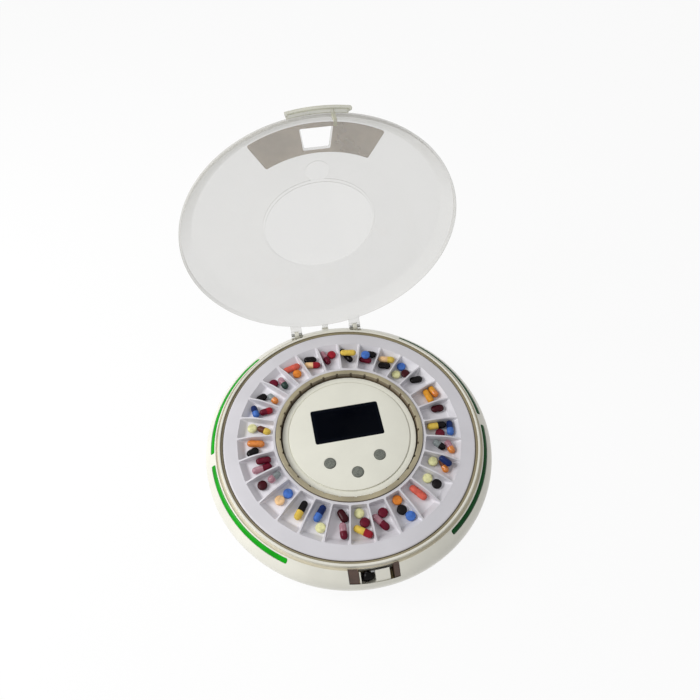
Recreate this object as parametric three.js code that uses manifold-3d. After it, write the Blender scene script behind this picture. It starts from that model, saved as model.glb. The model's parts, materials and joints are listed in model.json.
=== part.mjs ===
// Electronic pill box: a round casing with a turning tray of compartments, a display and
// buttons in the middle, light windows in the shoulder, a key lock in front and a clear lid.
// Millimetres, +Z up, the table at z = 0, the lock towards -Y and the lid's hinge towards +Y.
import * as THREE from 'three';
import { mergeVertices } from 'three/addons/utils/BufferGeometryUtils.js';
import Module from 'manifold-3d';

const wasm = await Module();
wasm.setup();

// Clearances
const seatGap = 0.3;
const runGap = 0.5;
const overrun = 2;

// Casing
const bodyRadius = 110;
const shellWall = 2;
const baseBottom = 1.2;
const baseFloor = 3.2;
const baseWall = 2.4;
const baseEdgeIn = 10;
const baseKneeIn = 6.5;
const baseKneeRise = 4.8;
const splitIn = 2;
const splitHeight = 20;
const waistRise = 6;
const widestRise = 5;
const shoulderReach = 9.4;
const shoulderRun = 5.8;
const shoulderSlope = 40;
const shoulderRoundIn = 1.2;
const shoulderRoundDrop = 2.6;

// Lid
const lidWall = 1.4;
const lidSeat = 1;
const lidRimHeight = 3.3;
const lidBendRun = 10.1;
const lidRise = 7.7;
const lidDiscRadius = 41.4;
const lidDiscOut = 4;
const lidDiscStep = 0.8;
const lidDotRadius = 8.3;
const lidDotGap = 8.4;
const lidDotStep = 0.5;
const lidOpenAngle = 90;

// Rim, well and hub
const grooveGap = 0.35;
const grooveDepth = 1.3;
const grooveFloorWall = 1.8;
const lipWall = 1.65;
const lipRise = 2.7;
const wellWall = 1.8;
const wellDepth = 18.3;
const wellFloorWall = 2;
const hubWallRadius = 50.4;
const hubWall = 1.9;
const hubWallDrop = 2.4;

// Hub cover and display
const coverLap = 0.3;
const coverEdgeRise = 1.3;
const coverStepIn = 4.9;
const coverStep = 0.8;
const coverPostRadius = 3;
const coverPostIn = 8.5;
const coverPostCount = 4;
const coverPostStartAngle = 75;
const windowWidth = 52.7;
const windowDepth = 28.7;
const windowY = 9.5;
const windowThickness = 1.2;
const windowLedge = 3;
const windowSink = 0.1;
const lcdThickness = 3.6;
const lcdMargin = 1.4;

// Buttons
const buttonRadius = 4.2;
const buttonProud = 0.8;
const buttonSideX = 18.7;
const buttonSideY = -21.6;
const buttonMiddleY = -32.05;
const buttonTravel = 1;
const buttonFlange = 1;
const buttonFlangeDepth = 1.1;
const buttonStemRadius = 1.6;

// Electronics in the hub
const boardEdgeGap = 4.5;
const boardThickness = 1.6;
const boardOverGear = 4.1;
const switchSize = 6;
const switchHeight = 1.3;
const buzzerRadius = 6;
const buzzerHeight = 5;
const buzzerX = -31;
const buzzerY = -18;
const sensorWidth = 6;
const sensorDepth = 4;
const sensorHeight = 6;
const sensorX = 32;
const sensorY = 27;

// Tray and its drive
const compartments = 29;
const trayRimGap = 1.9;
const trayWall = 1.6;
const trayLedgeDrop = 0.8;
const pocketDepth = 4.2;
const dividerRise = 3.4;
const trayLedgeWidth = 11.3;
const trayRampRun = 5;
const dividerThickness = 1.1;
const dividerFlatShare = 0.646643;
const dividerFirstAngle = 4.6;
const collarGap = 1;
const collarWall = 3.7;
const collarRise = 1;
const notchWidth = 1.8;
const notchDepth = 1.4;
const notchHeight = 2.6;
const ringTeeth = 58;
const ringPitchIn = 2.7;
const gearWidth = 5;
const toothTip = 1;
const toothRoot = 1.3;
const pinionTeeth = 10;
const pinionAngle = -135;
const pinionTipHalf = 0.55;
const pinionPitchHalf = 1.15;
const pinionRootHalf = 1.75;
const ringTipHalf = 0.55;
const ringPitchHalf = 1.05;
const ringRootHalf = 1.5;
const shaftRadius = 1.5;
const motorRadius = 11;
const motorDrop = 3.5;
const motorBore = 6;
const pinionWindowHalf = 9.6;

// Light windows
const lightBandStart = 1.5;
const lightBandWidth = 3.4;
const lightThickness = 2.4;
const lightFirstAngle = 35.6;
const lightGapStartAngle = 88.7;
const lightGapEndAngle = 94.3;
const lightLastAngle = 146;
const lightLeanAngle = 1.3;
const stripThickness = 1;
const stripDrop = 4.3;
const stripHeight = 8;
const stripShortAngle = 3;

// Hinge
const hingeIn = 5.5;
const hingeDrop = 3.3;
const hingeArmX = 25.3;
const hingeArmWidth = 9.3;
const hingeLugWidth = 3.6;
const hingeKnuckleRadius = 3.2;
const hingeLugRadius = 2.9;
const hingePinRadius = 1.2;
const hingePinGap = 0.2;
const hingeSlotGap = 0.7;
const hingeArmRise = 3.2;
const stopTabWidth = 5;
const stopTabThickness = 1.8;
const stopTabReach = 6;
const stopTabDrop = 0.9;

// Lid opening and mask
const maskIn = 0.5;
const maskWidth = 21.3;
const maskHalfAngle = 29.3;
const maskThickness = 0.9;
const maskOpeningMargin = 0.8;
const openingIn = 4.3;
const openingLength = 14.9;
const openingInnerWidth = 16;
const openingOuterWidth = 20;

// Lock
const lockX = -3.3;
const lockHalfWidth = 17.5;
const lockBackWall = 0.85;
const lockFrontWall = 1.8;
const lockDepth = 15.6;
const lockFloor = 1.5;
const lockSurfaceDrop = 0.4;
const leftCheekWidth = 6.7;
const rightCheekWidth = 3.7;
const barrelX = -7.6;
const barrelRise = 7.7;
const barrelRadius = 4.7;
const barrelSet = 2.2;
const barrelNose = 2.4;
const keySlotWidth = 1.2;
const keySlotHeight = 5;
const keySlotDepth = 1.6;
const camThickness = 1.3;
const camHubRadius = 2.2;
const camReach = 4.2;
const camHalfWidth = 0.8;
const boltHeight = 3.6;
const boltRestTail = -5.1;
const boltRestTip = 7;
const boltTravel = 3.4;
const blockWidth = 20.7;
const hookThickness = 1.8;
const hookDepth = 4.6;
const hookBelowBolt = 1.6;
const boltClearance = 0.45;

// Latch tab
const tabHalfWidth = 20;
const tabWall = 1.3;
const tabReach = 7.3;
const tabShoulderDrop = 2;
const tabNoseDrop = 2.4;
const tabSkirt = 2.2;
const tabNoseIn = 1;
const tabShoulderIn = 3.4;
const tabTopDrop = 0.7;

// Underside
const footRadius = 7;
const footIn = 14;
const footCount = 4;
const footSink = 0.8;
const screwIn = 12;
const screwCount = 4;
const screwStartAngle = 30;
const screwHeadRadius = 3;
const screwHeadHeight = 2.2;
const screwShaftRadius = 1.2;
const screwLength = 11;
const standoffRadius = 5.2;
const standoffRise = 7.6;
const bossRadius = 4;
const screwFloor = 3;

// Batteries
const batteryRadius = 7.25;
const batteryLength = 49.5;
const batteryNubRadius = 2.7;
const batteryNub = 1;
const batteryPitch = 14.9;
const batteryCount = 4;
const batteryIn = 58;
const batteryHeadroom = 4.5;
const contactThickness = 0.8;
const contactHeight = 11;
const bayWall = 1.6;
const bayWallRise = 9.6;
const doorThickness = 1.5;
const doorOverlap = 3;
const doorTravel = 8;
const doorRib = 1;

// Facets around a turned shape
const wideFacets = 60;
const trayFacets = 2 * compartments;
const smallFacets = 16;
const pinFacets = 10;

const degree = Math.PI / 180;
const fullTurn = 360;
const deepCut = 2 * bodyRadius;

// Heights that follow, from the table up
const baseKneeHeight = baseBottom + baseKneeRise;
const baseFloorTop = baseBottom + baseFloor;
const housingBottom = splitHeight + seatGap;
const waistHeight = splitHeight + waistRise;
const widestTop = waistHeight + widestRise;
const standoffTop = baseFloorTop + standoffRise;
const bayWallTop = baseFloorTop + bayWallRise;
const doorBottom = baseBottom;
const doorTop = doorBottom + doorThickness;
const batteryZ = doorTop + seatGap + batteryRadius;
const wellFloorTop = batteryZ + batteryRadius + batteryHeadroom + wellFloorWall;
const motorTop = wellFloorTop - motorDrop;
const trayBottom = wellFloorTop + seatGap;
const gearBottom = trayBottom;
const gearTop = gearBottom + gearWidth;
const gearMiddle = (gearBottom + gearTop) / 2;
const boardTop = gearTop + boardOverGear + boardThickness;
const shoulderTop = wellFloorTop + wellDepth;
const grooveBottom = shoulderTop - grooveDepth;
const lipTop = shoulderTop + lipRise;
const hubWallTop = lipTop - hubWallDrop;
const coverBottom = hubWallTop + seatGap;
const coverEdgeTop = coverBottom + coverEdgeRise;
const coverTop = coverEdgeTop + coverStep;
const windowTop = coverTop - windowSink;
const windowBottom = windowTop - windowThickness;
const lcdTop = coverBottom - seatGap;
const trayLedgeTop = lipTop - trayLedgeDrop;
const trayFloorTop = trayLedgeTop - pocketDepth;
const trayInnerTop = trayLedgeTop + dividerRise;
const collarTop = trayInnerTop + collarRise;
const stripTop = shoulderTop - stripDrop;
const stripBottom = stripTop - stripHeight;
const lidRimBottom = grooveBottom + lidSeat;
const lidRimTop = lidRimBottom + lidRimHeight;
const lidPanelTop = lidRimTop + lidRise;
const lidPanelBottom = lidPanelTop - lidWall;
const hingeZ = shoulderTop - hingeDrop;
const hingeSlotBottom = hingeZ - hingeKnuckleRadius - hingeSlotGap;
const stopTabTop = lidRimTop - stopTabDrop;
const lockPocketBottom = shoulderTop - lockDepth;
const barrelZ = lockPocketBottom + barrelRise;
const boltBottom = barrelZ - boltHeight / 2;
const tabTop = lidRimTop - tabTopDrop;
const tabShoulderTop = tabTop - tabShoulderDrop;
const tabNoseTop = tabShoulderTop - tabNoseDrop;
const tabBottom = tabNoseTop - tabSkirt;

// Radii that follow, from the outside in
const baseEdgeRadius = bodyRadius - baseEdgeIn;
const baseKneeRadius = bodyRadius - baseKneeIn;
const splitRadius = bodyRadius - splitIn;
const lidRimRadius = bodyRadius - shoulderReach;
const grooveRadius = lidRimRadius + grooveGap;
const lipRadius = lidRimRadius - lidWall - grooveGap;
const wellRadius = lipRadius - lipWall;
const lidPanelRadius = lidRimRadius - lidBendRun;
const maskOuter = lidPanelRadius - maskIn;
const maskInner = maskOuter - maskWidth;
const openingOuter = lidPanelRadius - openingIn;
const openingInner = openingOuter - openingLength;
const lidDotDistance = maskInner - lidDotGap - lidDotRadius;
const trayRadius = wellRadius - trayRimGap;
const trayPocketRadius = trayRadius - trayLedgeWidth;
const coverRadius = hubWallRadius + coverLap;
const coverStepRadius = coverRadius - coverStepIn;
const boardRadius = hubWallRadius - hubWall - boardEdgeGap;
const coverPostDistance = hubWallRadius - hubWall - coverPostIn;
const collarRadius = coverRadius + collarGap + collarWall;
const trayBore = collarRadius + seatGap;
const dividerFlatEnd = trayBore + dividerFlatShare * (trayPocketRadius - trayBore);
const ringPitchRadius = collarRadius - ringPitchIn;
const pinionPitchRadius = (ringPitchRadius * pinionTeeth) / ringTeeth;
const pinionDistance = ringPitchRadius - pinionPitchRadius;
const footDistance = baseEdgeRadius - footIn;
const screwDistance = baseEdgeRadius - screwIn;
const batteryY = baseEdgeRadius - batteryIn;
const bayHalfX = (batteryCount * batteryPitch) / 2 + seatGap;
const bayHalfY = batteryLength / 2 + batteryNub + seatGap + contactThickness + seatGap;
const hingeY = bodyRadius - hingeIn;
const lockOuterRadius = bodyRadius - lockFrontWall;
const lockInnerRadius = lipRadius + lockBackWall;
const barrelFront = lockOuterRadius - barrelSet;
const barrelBack = lockInnerRadius + seatGap + camThickness + boltClearance;
const boltY = -(lockInnerRadius + seatGap + camThickness / 2);
const lockLeft = lockX - lockHalfWidth;
const lockRight = lockX + lockHalfWidth;
const blockLeft = lockLeft + seatGap + leftCheekWidth + seatGap;
const blockRight = blockLeft + blockWidth;
const hookLeft = blockRight + seatGap + seatGap;

const slopeCos = Math.cos(shoulderSlope * degree);
const slopeSin = Math.sin(shoulderSlope * degree);

// Points along the shoulder's slope, from the groove outwards, and square to it.
function onSlope(along, outwards) {
  return [
    grooveRadius + along * slopeCos + outwards * slopeSin,
    shoulderTop - along * slopeSin + outwards * slopeCos,
  ];
}

// Geometry

function vectors(points) {
  return points.map(([x, y]) => new THREE.Vector2(x, y));
}

function solid(geometry) {
  const bare = geometry.index ? geometry.toNonIndexed() : geometry.clone();
  bare.deleteAttribute('normal');
  bare.deleteAttribute('uv');
  const merged = mergeVertices(bare);
  const corners = Array.from(merged.index.array);
  const kept = corners.flatMap((a, i) => {
    const [b, c] = [corners[i + 1], corners[i + 2]];
    return i % 3 === 0 && a !== b && b !== c && c !== a ? [a, b, c] : [];
  });
  return new wasm.Manifold(new wasm.Mesh({
    numProp: 3,
    vertProperties: new Float32Array(merged.attributes.position.array),
    triVerts: new Uint32Array(kept),
  }));
}

function geometryOf(shape) {
  const mesh = shape.getMesh();
  const geometry = new THREE.BufferGeometry();
  geometry.setAttribute('position', new THREE.BufferAttribute(mesh.vertProperties, 3));
  geometry.setIndex(new THREE.BufferAttribute(mesh.triVerts, 1));
  geometry.computeVertexNormals();
  return geometry;
}

// A profile of [radius, height] points turned about the vertical axis. The profile runs
// upwards on the outside, so that the faces point out.
function turned(profile, facets) {
  const onAxis = profile[0][0] === 0;
  const outline = onAxis ? profile : [...profile, profile[0]];
  const geometry = new THREE.LatheGeometry(vectors(outline), facets);
  geometry.rotateX(Math.PI / 2);
  return solid(geometry);
}

function disc(radius, bottom, top, facets) {
  return turned([[0, bottom], [radius, bottom], [radius, top], [0, top]], facets);
}

function tube(inner, outer, bottom, top, facets) {
  return turned([[inner, bottom], [outer, bottom], [outer, top], [inner, top]], facets);
}

function cylinder(x, y, radius, bottom, top, facets) {
  return disc(radius, bottom, top, facets).translate(x, y, 0);
}

function box(left, right, front, back, bottom, top) {
  const geometry = new THREE.BoxGeometry(right - left, back - front, top - bottom);
  geometry.translate((left + right) / 2, (front + back) / 2, (bottom + top) / 2);
  return solid(geometry);
}

// An outline in X and Y, raised from bottom to top.
function prism(outline, bottom, top, holes = []) {
  const shape = new THREE.Shape(vectors(outline));
  shape.holes = holes.map((hole) => new THREE.Path(vectors(hole)));
  const settings = { depth: top - bottom, bevelEnabled: false, steps: 1 };
  const geometry = new THREE.ExtrudeGeometry(shape, settings);
  geometry.translate(0, 0, bottom);
  return solid(geometry);
}

// An outline in Y and Z, drawn across X from left to right.
function across(outline, left, right) {
  const shape = new THREE.Shape(vectors(outline));
  const settings = { depth: right - left, bevelEnabled: false, steps: 1 };
  const geometry = new THREE.ExtrudeGeometry(shape, settings);
  geometry.rotateX(Math.PI / 2);
  geometry.rotateZ(Math.PI / 2);
  geometry.translate(left, 0, 0);
  return solid(geometry);
}

// A cylinder along X, through (y, z).
function crossPin(y, z, radius, left, right, facets) {
  const geometry = new THREE.CylinderGeometry(radius, radius, right - left, facets);
  geometry.rotateZ(Math.PI / 2);
  geometry.translate((left + right) / 2, y, z);
  return solid(geometry);
}

// The direction at an angle turned clockwise from the back, seen from above.
function compass(angle) {
  return [Math.sin(angle * degree), Math.cos(angle * degree)];
}

function polar(radius, angle) {
  return [radius * Math.cos(angle * degree), radius * Math.sin(angle * degree)];
}

// A wedge that holds everything between two angles turned clockwise from the back.
function wedge(from, to, bottom, top) {
  const ends = [from, to].map((angle) => compass(angle).map((share) => share * deepCut));
  return prism([[0, 0], ends[1], ends[0]], bottom, top);
}

function joined(shapes) {
  return shapes.reduce((whole, shape) => whole.add(shape));
}

function cut(shape, tools) {
  return tools.reduce((whole, tool) => whole.subtract(tool), shape);
}

function around(count, start, make) {
  return Array.from({ length: count }, (_, i) => make(start + (fullTurn * i) / count, i));
}

// Materials

function finish(color, roughness, metalness = 0, opacity = 1) {
  return new THREE.MeshStandardMaterial({
    color,
    roughness,
    metalness,
    opacity,
    transparent: opacity < 1,
  });
}

const cream = () => finish(0xe2e0d6, 0.35);
const trayPlastic = () => finish(0xc9c9d4, 0.4);
const smoky = () => finish(0x786c58, 0.25, 0, 0.8);
const clear = () => finish(0xdddcd8, 0.12, 0, 0.45);
const tinted = () => finish(0xaaa396, 0.2, 0, 0.6);
const greenLight = () => finish(0x1ca01e, 0.3, 0, 0.85);
const darkGlass = () => finish(0x10141f, 0.15);
const greyRubber = () => finish(0x6e736e, 0.7);
const blackPlastic = () => finish(0x141414, 0.25);
const brownPlastic = () => finish(0x4b382f, 0.4);
const board = () => finish(0x1f5a34, 0.5);
const steel = () => finish(0xb9bbbd, 0.3, 0.9);
const whitePlastic = () => finish(0xe8e8e4, 0.5);
const batteryWrap = () => finish(0x4a5560, 0.35, 0.3);
const rubber = () => finish(0x2b2b2b, 0.85);

const pillBox = new THREE.Group();
const lid = new THREE.Group();

function place(parent, name, shape, material) {
  const mesh = new THREE.Mesh(geometryOf(shape), material);
  mesh.name = name;
  parent.add(mesh);
  return mesh;
}

// Shoulder and casing outlines

function shoulderOutline(drop) {
  const low = onSlope(shoulderRun, 0);
  const curve = new THREE.QuadraticBezierCurve(
    new THREE.Vector2(...low),
    new THREE.Vector2(bodyRadius - shoulderRoundIn, low[1] - shoulderRoundDrop),
    new THREE.Vector2(bodyRadius, widestTop),
  );
  const round = curve.getPoints(3).map((point) => [point.x, point.y - drop]);
  return [[grooveRadius, shoulderTop - drop], ...round];
}

function baseShell() {
  const outside = [
    [0, baseBottom],
    [baseEdgeRadius, baseBottom],
    [baseKneeRadius, baseKneeHeight],
    [splitRadius, splitHeight],
  ];
  const inside = [
    [splitRadius - baseWall, splitHeight],
    [baseKneeRadius - baseWall, baseKneeHeight + baseWall],
    [baseEdgeRadius - baseWall, baseFloorTop],
    [0, baseFloorTop],
  ];
  const pan = turned([...outside, ...inside], wideFacets);
  const standoffs = screwPlaces(([x, y]) =>
    cylinder(x, y, standoffRadius, baseFloorTop - seatGap, standoffTop, pinFacets));
  const headHoles = screwPlaces(([x, y]) =>
    cylinder(x, y, screwHeadRadius + seatGap, 0, standoffTop - screwFloor, pinFacets));
  const shaftHoles = screwPlaces(([x, y]) =>
    cylinder(x, y, screwShaftRadius + seatGap, 0, standoffTop + overrun, pinFacets));
  const footHoles = footPlaces(([x, y]) =>
    cylinder(x, y, footRadius + seatGap, 0, baseBottom + footSink, smallFacets));
  const withBay = joined([pan, ...standoffs, bayWalls()]);
  return cut(withBay, [...headHoles, ...shaftHoles, ...footHoles, ...doorCuts()]);
}

function bayWalls() {
  const outerX = bayHalfX + bayWall;
  const outerY = bayHalfY + bayWall;
  const bottom = baseFloorTop - seatGap;
  const outer = box(-outerX, outerX, batteryY - outerY, batteryY + outerY, bottom, bayWallTop);
  const inner = box(
    -bayHalfX, bayHalfX, batteryY - bayHalfY, batteryY + bayHalfY,
    bottom - overrun, bayWallTop + overrun,
  );
  return outer.subtract(inner);
}

function doorCuts() {
  const near = batteryY - bayHalfY;
  const far = batteryY + bayHalfY;
  const opening = box(-bayHalfX, bayHalfX, near, far, 0, baseFloorTop + overrun);
  const halfWidth = bayHalfX + doorOverlap + seatGap;
  const rebate = box(
    -halfWidth, halfWidth, near - doorOverlap - seatGap,
    far + doorOverlap + doorTravel + seatGap, 0, doorTop + seatGap / 2,
  );
  return [opening, rebate];
}

function batteryDoor() {
  const halfWidth = bayHalfX + doorOverlap;
  const near = batteryY - bayHalfY - doorOverlap;
  const far = batteryY + bayHalfY + doorOverlap;
  const plate = box(-halfWidth, halfWidth, near, far, doorBottom, doorTop);
  const grooves = [-1, 0, 1].map((step) => {
    const y = near + (far - near) / 6 + 2 * step * doorRib;
    const half = halfWidth / 3;
    return box(-half, half, y - doorRib / 2, y + doorRib / 2, 0, doorBottom + doorThickness / 3);
  });
  return cut(plate, grooves);
}

function screwPlaces(make) {
  return around(screwCount, screwStartAngle, (angle) => make(polar(screwDistance, angle)));
}

function footPlaces(make) {
  return around(footCount, fullTurn / footCount / 2, (angle) => make(polar(footDistance, angle)));
}

function housingBody() {
  const slopeInner = onSlope(shoulderRun, -shellWall);
  const underGroove = grooveBottom - grooveFloorWall;
  const slopeTurn = slopeInner[0] - ((underGroove - slopeInner[1]) * slopeCos) / slopeSin;
  const outside = [
    [splitRadius, housingBottom],
    [bodyRadius, waistHeight],
    ...shoulderOutline(0).reverse(),
  ];
  const rim = [
    [grooveRadius, grooveBottom],
    [lipRadius, grooveBottom],
    [lipRadius, lipTop],
    [wellRadius, lipTop],
    [wellRadius, wellFloorTop],
    [hubWallRadius, wellFloorTop],
    [hubWallRadius, hubWallTop],
    [hubWallRadius - hubWall, hubWallTop],
    [hubWallRadius - hubWall, wellFloorTop - wellFloorWall],
  ];
  const inside = [
    [wellRadius + wellWall, wellFloorTop - wellFloorWall],
    [wellRadius + wellWall, underGroove],
    [slopeTurn, underGroove],
    slopeInner,
    [bodyRadius - shellWall, widestTop],
    [bodyRadius - shellWall, waistHeight],
    [splitRadius - shellWall, housingBottom],
  ];
  return turned([...outside, ...rim, ...inside], wideFacets);
}

function topHousing() {
  const bosses = screwPlaces(([x, y]) => cylinder(
    x, y, bossRadius, standoffTop + seatGap, wellFloorTop - seatGap, pinFacets));
  const bossHoles = screwPlaces(([x, y]) => cylinder(
    x, y, screwShaftRadius + seatGap, 0, wellFloorTop - wellFloorWall + seatGap, pinFacets));
  const lights = lightSpans().map(([from, to]) => lightCut(from, to));
  const solidParts = joined([housingBody(), ...bosses, ...hingeBlocks()]);
  const opened = cut(solidParts, [
    ...bossHoles, ...lights, lockPocket(), pinionWindow(), ...hingeSlots(),
  ]);
  return cut(joined([opened, ...hingeLugs(), stopLedge()]), hingePinHoles());
}

// The lights' ends, all but the two next to the hinge turned a little clockwise.
function lightSpans() {
  const lean = lightLeanAngle;
  return [
    [lightFirstAngle, lightGapStartAngle + lean],
    [lightGapEndAngle + lean, lightLastAngle + lean],
    [fullTurn - lightGapStartAngle + lean, fullTurn - lightFirstAngle],
    [fullTurn - lightLastAngle + lean, fullTurn - lightGapEndAngle + lean],
  ];
}

function lightBand(margin, depth, outwards) {
  const start = lightBandStart - margin;
  const end = lightBandStart + lightBandWidth + margin;
  return turned([
    onSlope(start, -depth), onSlope(end, -depth), onSlope(end, outwards), onSlope(start, outwards),
  ], wideFacets);
}

function lightCut(from, to) {
  const gapAngle = seatGap / bodyRadius / degree;
  const sector = wedge(from - gapAngle, to + gapAngle, widestTop, lipTop + overrun);
  return lightBand(seatGap, shellWall + overrun, overrun).intersect(sector);
}

function lightWindow(from, to) {
  const sector = wedge(from, to, widestTop, lipTop + overrun);
  return lightBand(0, lightThickness, 0).intersect(sector);
}

function lightStrip(from, to) {
  const inner = wellRadius + wellWall + seatGap;
  const ring = tube(inner, inner + stripThickness, stripBottom, stripTop, wideFacets);
  const sector = wedge(from + stripShortAngle, to - stripShortAngle, 0, lipTop);
  return ring.intersect(sector);
}

function lockRing(inner, outer, bottom, top, left, right) {
  const ring = tube(inner, outer, bottom, top, wideFacets);
  return ring.intersect(box(left, right, -deepCut, 0, bottom - overrun, top + overrun));
}

function lockPocket() {
  return lockRing(
    lockInnerRadius, lockOuterRadius, lockPocketBottom, lipTop + overrun,
    lockLeft, lockRight,
  );
}

// All that lies under the shoulder's surface, sunk by a margin.
function underShoulder(drop) {
  const outline = shoulderOutline(drop).reverse();
  const bottom = lockPocketBottom - overrun;
  return turned([[0, bottom], [bodyRadius, bottom], ...outline, [0, outline.at(-1)[1]]], wideFacets);
}

function pinionWindow() {
  const [x, y] = polar(1, pinionAngle);
  const angle = pinionAngle;
  const middle = hubWallRadius - hubWall / 2;
  const window = box(
    -hubWall - seatGap, hubWall + seatGap, -pinionWindowHalf, pinionWindowHalf,
    wellFloorTop - overrun - wellFloorWall, gearTop + runGap,
  );
  return window.rotate(0, 0, angle).translate(middle * x, middle * y, 0);
}

function hingeSides(make) {
  return [-1, 1].map((side) => make(side * hingeArmX));
}

function hingeSlots() {
  const half = hingeArmWidth / 2 + seatGap;
  const front = Math.sqrt(grooveRadius ** 2 - hingeArmX ** 2) - shellWall / 4;
  return hingeSides((x) => box(
    x - half, x + half, front, hingeY + 2 * hingeKnuckleRadius,
    hingeSlotBottom, lipTop + overrun,
  ));
}

// Solid plastic under each hinge arm, between the groove and the outer skin.
function hingeBlocks() {
  const half = hingeArmWidth / 2 + shellWall;
  const bottom = hingeSlotBottom - shellWall;
  const ring = tube(grooveRadius, bodyRadius, bottom, shoulderTop, wideFacets);
  const filled = ring.intersect(underShoulder(0));
  return hingeSides((x) => filled.intersect(
    box(x - half, x + half, 0, deepCut, bottom - overrun, lipTop)));
}

function hingeLugs() {
  const half = hingeLugWidth / 2;
  const foot = hingeSlotBottom - shellWall;
  const outline = [
    [hingeY - hingeLugRadius, foot],
    [hingeY, foot],
    [hingeY + hingeLugRadius, hingeZ - hingeLugRadius],
    [hingeY + hingeLugRadius, hingeZ],
    [hingeY - hingeLugRadius, hingeZ],
  ];
  return hingeSides((x) => across(outline, x - half, x + half)
    .add(crossPin(hingeY, hingeZ, hingeLugRadius, x - half, x + half, pinFacets)));
}

function hingePinHoles() {
  const half = hingeLugWidth / 2 + overrun;
  const radius = hingePinRadius + hingePinGap;
  return hingeSides((x) => crossPin(hingeY, hingeZ, radius, x - half, x + half, pinFacets));
}

// The open lid's tab rests on this ledge.
function stopLedge() {
  const half = stopTabWidth / 2 + seatGap;
  const tabEnd = openPlace(0, lidRimRadius + stopTabReach, stopTabTop);
  const back = tabEnd[1] + seatGap;
  const front = back - hingeKnuckleRadius;
  return box(-half, half, front, back, widestTop + shellWall, tabEnd[2] - seatGap);
}

// Tray and its drive

function divider(angle) {
  const inner = trayBore + trayWall / 2;
  const low = trayFloorTop - trayWall / 2;
  const sunkLedge = trayLedgeTop - trayWall / 2;
  const outline = [
    [inner, low],
    [trayPocketRadius - trayRampRun + trayWall / 2, low],
    [trayPocketRadius + trayWall / 2, sunkLedge],
    [trayPocketRadius, trayLedgeTop + trayWall / 4],
    [dividerFlatEnd, trayInnerTop],
    [inner, trayInnerTop],
  ];
  return across(outline, -dividerThickness / 2, dividerThickness / 2).rotate(0, 0, -angle);
}

function pillTray() {
  const floorUnder = trayFloorTop - trayWall;
  const ledgeUnder = trayLedgeTop - trayWall;
  const pocketEnd = trayPocketRadius - trayRampRun;
  const bowl = turned([
    [trayBore, trayBottom],
    [trayBore + trayWall, trayBottom],
    [trayBore + trayWall, floorUnder],
    [pocketEnd, floorUnder],
    [trayPocketRadius, ledgeUnder],
    [trayRadius - trayWall, ledgeUnder],
    [trayRadius - trayWall, trayBottom],
    [trayRadius, trayBottom],
    [trayRadius, trayLedgeTop - trayWall / 2],
    [trayRadius - trayWall / 2, trayLedgeTop],
    [trayPocketRadius, trayLedgeTop],
    [pocketEnd, trayFloorTop],
    [trayBore + trayWall, trayFloorTop],
    [trayBore + trayWall, trayInnerTop],
    [trayBore, trayInnerTop],
  ], trayFacets);
  return joined([bowl, ...around(compartments, dividerFirstAngle, divider)]);
}

// The corners of one tooth, from its foot over its tip to its other foot, as [radius, half].
function toothCorners(angle, corners) {
  const rising = corners.map(([radius, half]) => polar(radius, angle - half / radius / degree));
  const falling = corners.map(([radius, half]) => polar(radius, angle + half / radius / degree));
  return [...rising, ...falling.reverse()];
}

function ringGear() {
  const outline = around(trayFacets, 0, (angle) => polar(collarRadius, angle));
  const corners = [
    [ringPitchRadius + toothRoot, ringRootHalf],
    [ringPitchRadius, ringPitchHalf],
    [ringPitchRadius - toothTip, ringTipHalf],
  ];
  const start = pinionAngle + fullTurn / ringTeeth / 2;
  const teeth = around(ringTeeth, start, (angle) => toothCorners(angle, corners)).flat();
  return prism(outline, gearBottom, gearTop, [teeth]);
}

function trayCollar() {
  const inner = collarRadius - collarWall;
  const sleeve = tube(inner, collarRadius, gearTop - seatGap, collarTop, trayFacets);
  const notches = around(compartments, 0, (angle) => box(
    -notchWidth / 2, notchWidth / 2, inner - overrun, inner + notchDepth,
    collarTop - notchHeight, collarTop + overrun,
  ).rotate(0, 0, -angle));
  return cut(ringGear().add(sleeve), notches);
}

function pinionPlace() {
  return polar(pinionDistance, pinionAngle);
}

function drivePinion() {
  const corners = [
    [pinionPitchRadius - toothRoot, pinionRootHalf],
    [pinionPitchRadius, pinionPitchHalf],
    [pinionPitchRadius + toothTip, pinionTipHalf],
  ];
  const teeth = around(pinionTeeth, pinionAngle, (angle) => toothCorners(angle, corners)).flat();
  const wheel = prism(teeth, gearBottom + seatGap, gearTop - 2 * seatGap);
  const shaft = disc(shaftRadius, motorTop - motorBore + seatGap, gearMiddle, pinFacets);
  return wheel.add(shaft).translate(...pinionPlace(), 0);
}

function driveMotor() {
  const bottom = baseFloorTop + seatGap;
  const can = disc(motorRadius, bottom, motorTop, smallFacets);
  const bore = disc(shaftRadius + seatGap, motorTop - motorBore, motorTop + overrun, pinFacets);
  return can.subtract(bore).translate(...pinionPlace(), 0);
}

// Hub cover, display and buttons

function buttonPlaces() {
  return [
    ['button_left', -buttonSideX, buttonSideY],
    ['button_middle', 0, buttonMiddleY],
    ['button_right', buttonSideX, buttonSideY],
  ];
}

function centredBox(width, depth, y, bottom, top) {
  return box(-width / 2, width / 2, y - depth / 2, y + depth / 2, bottom, top);
}

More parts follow.
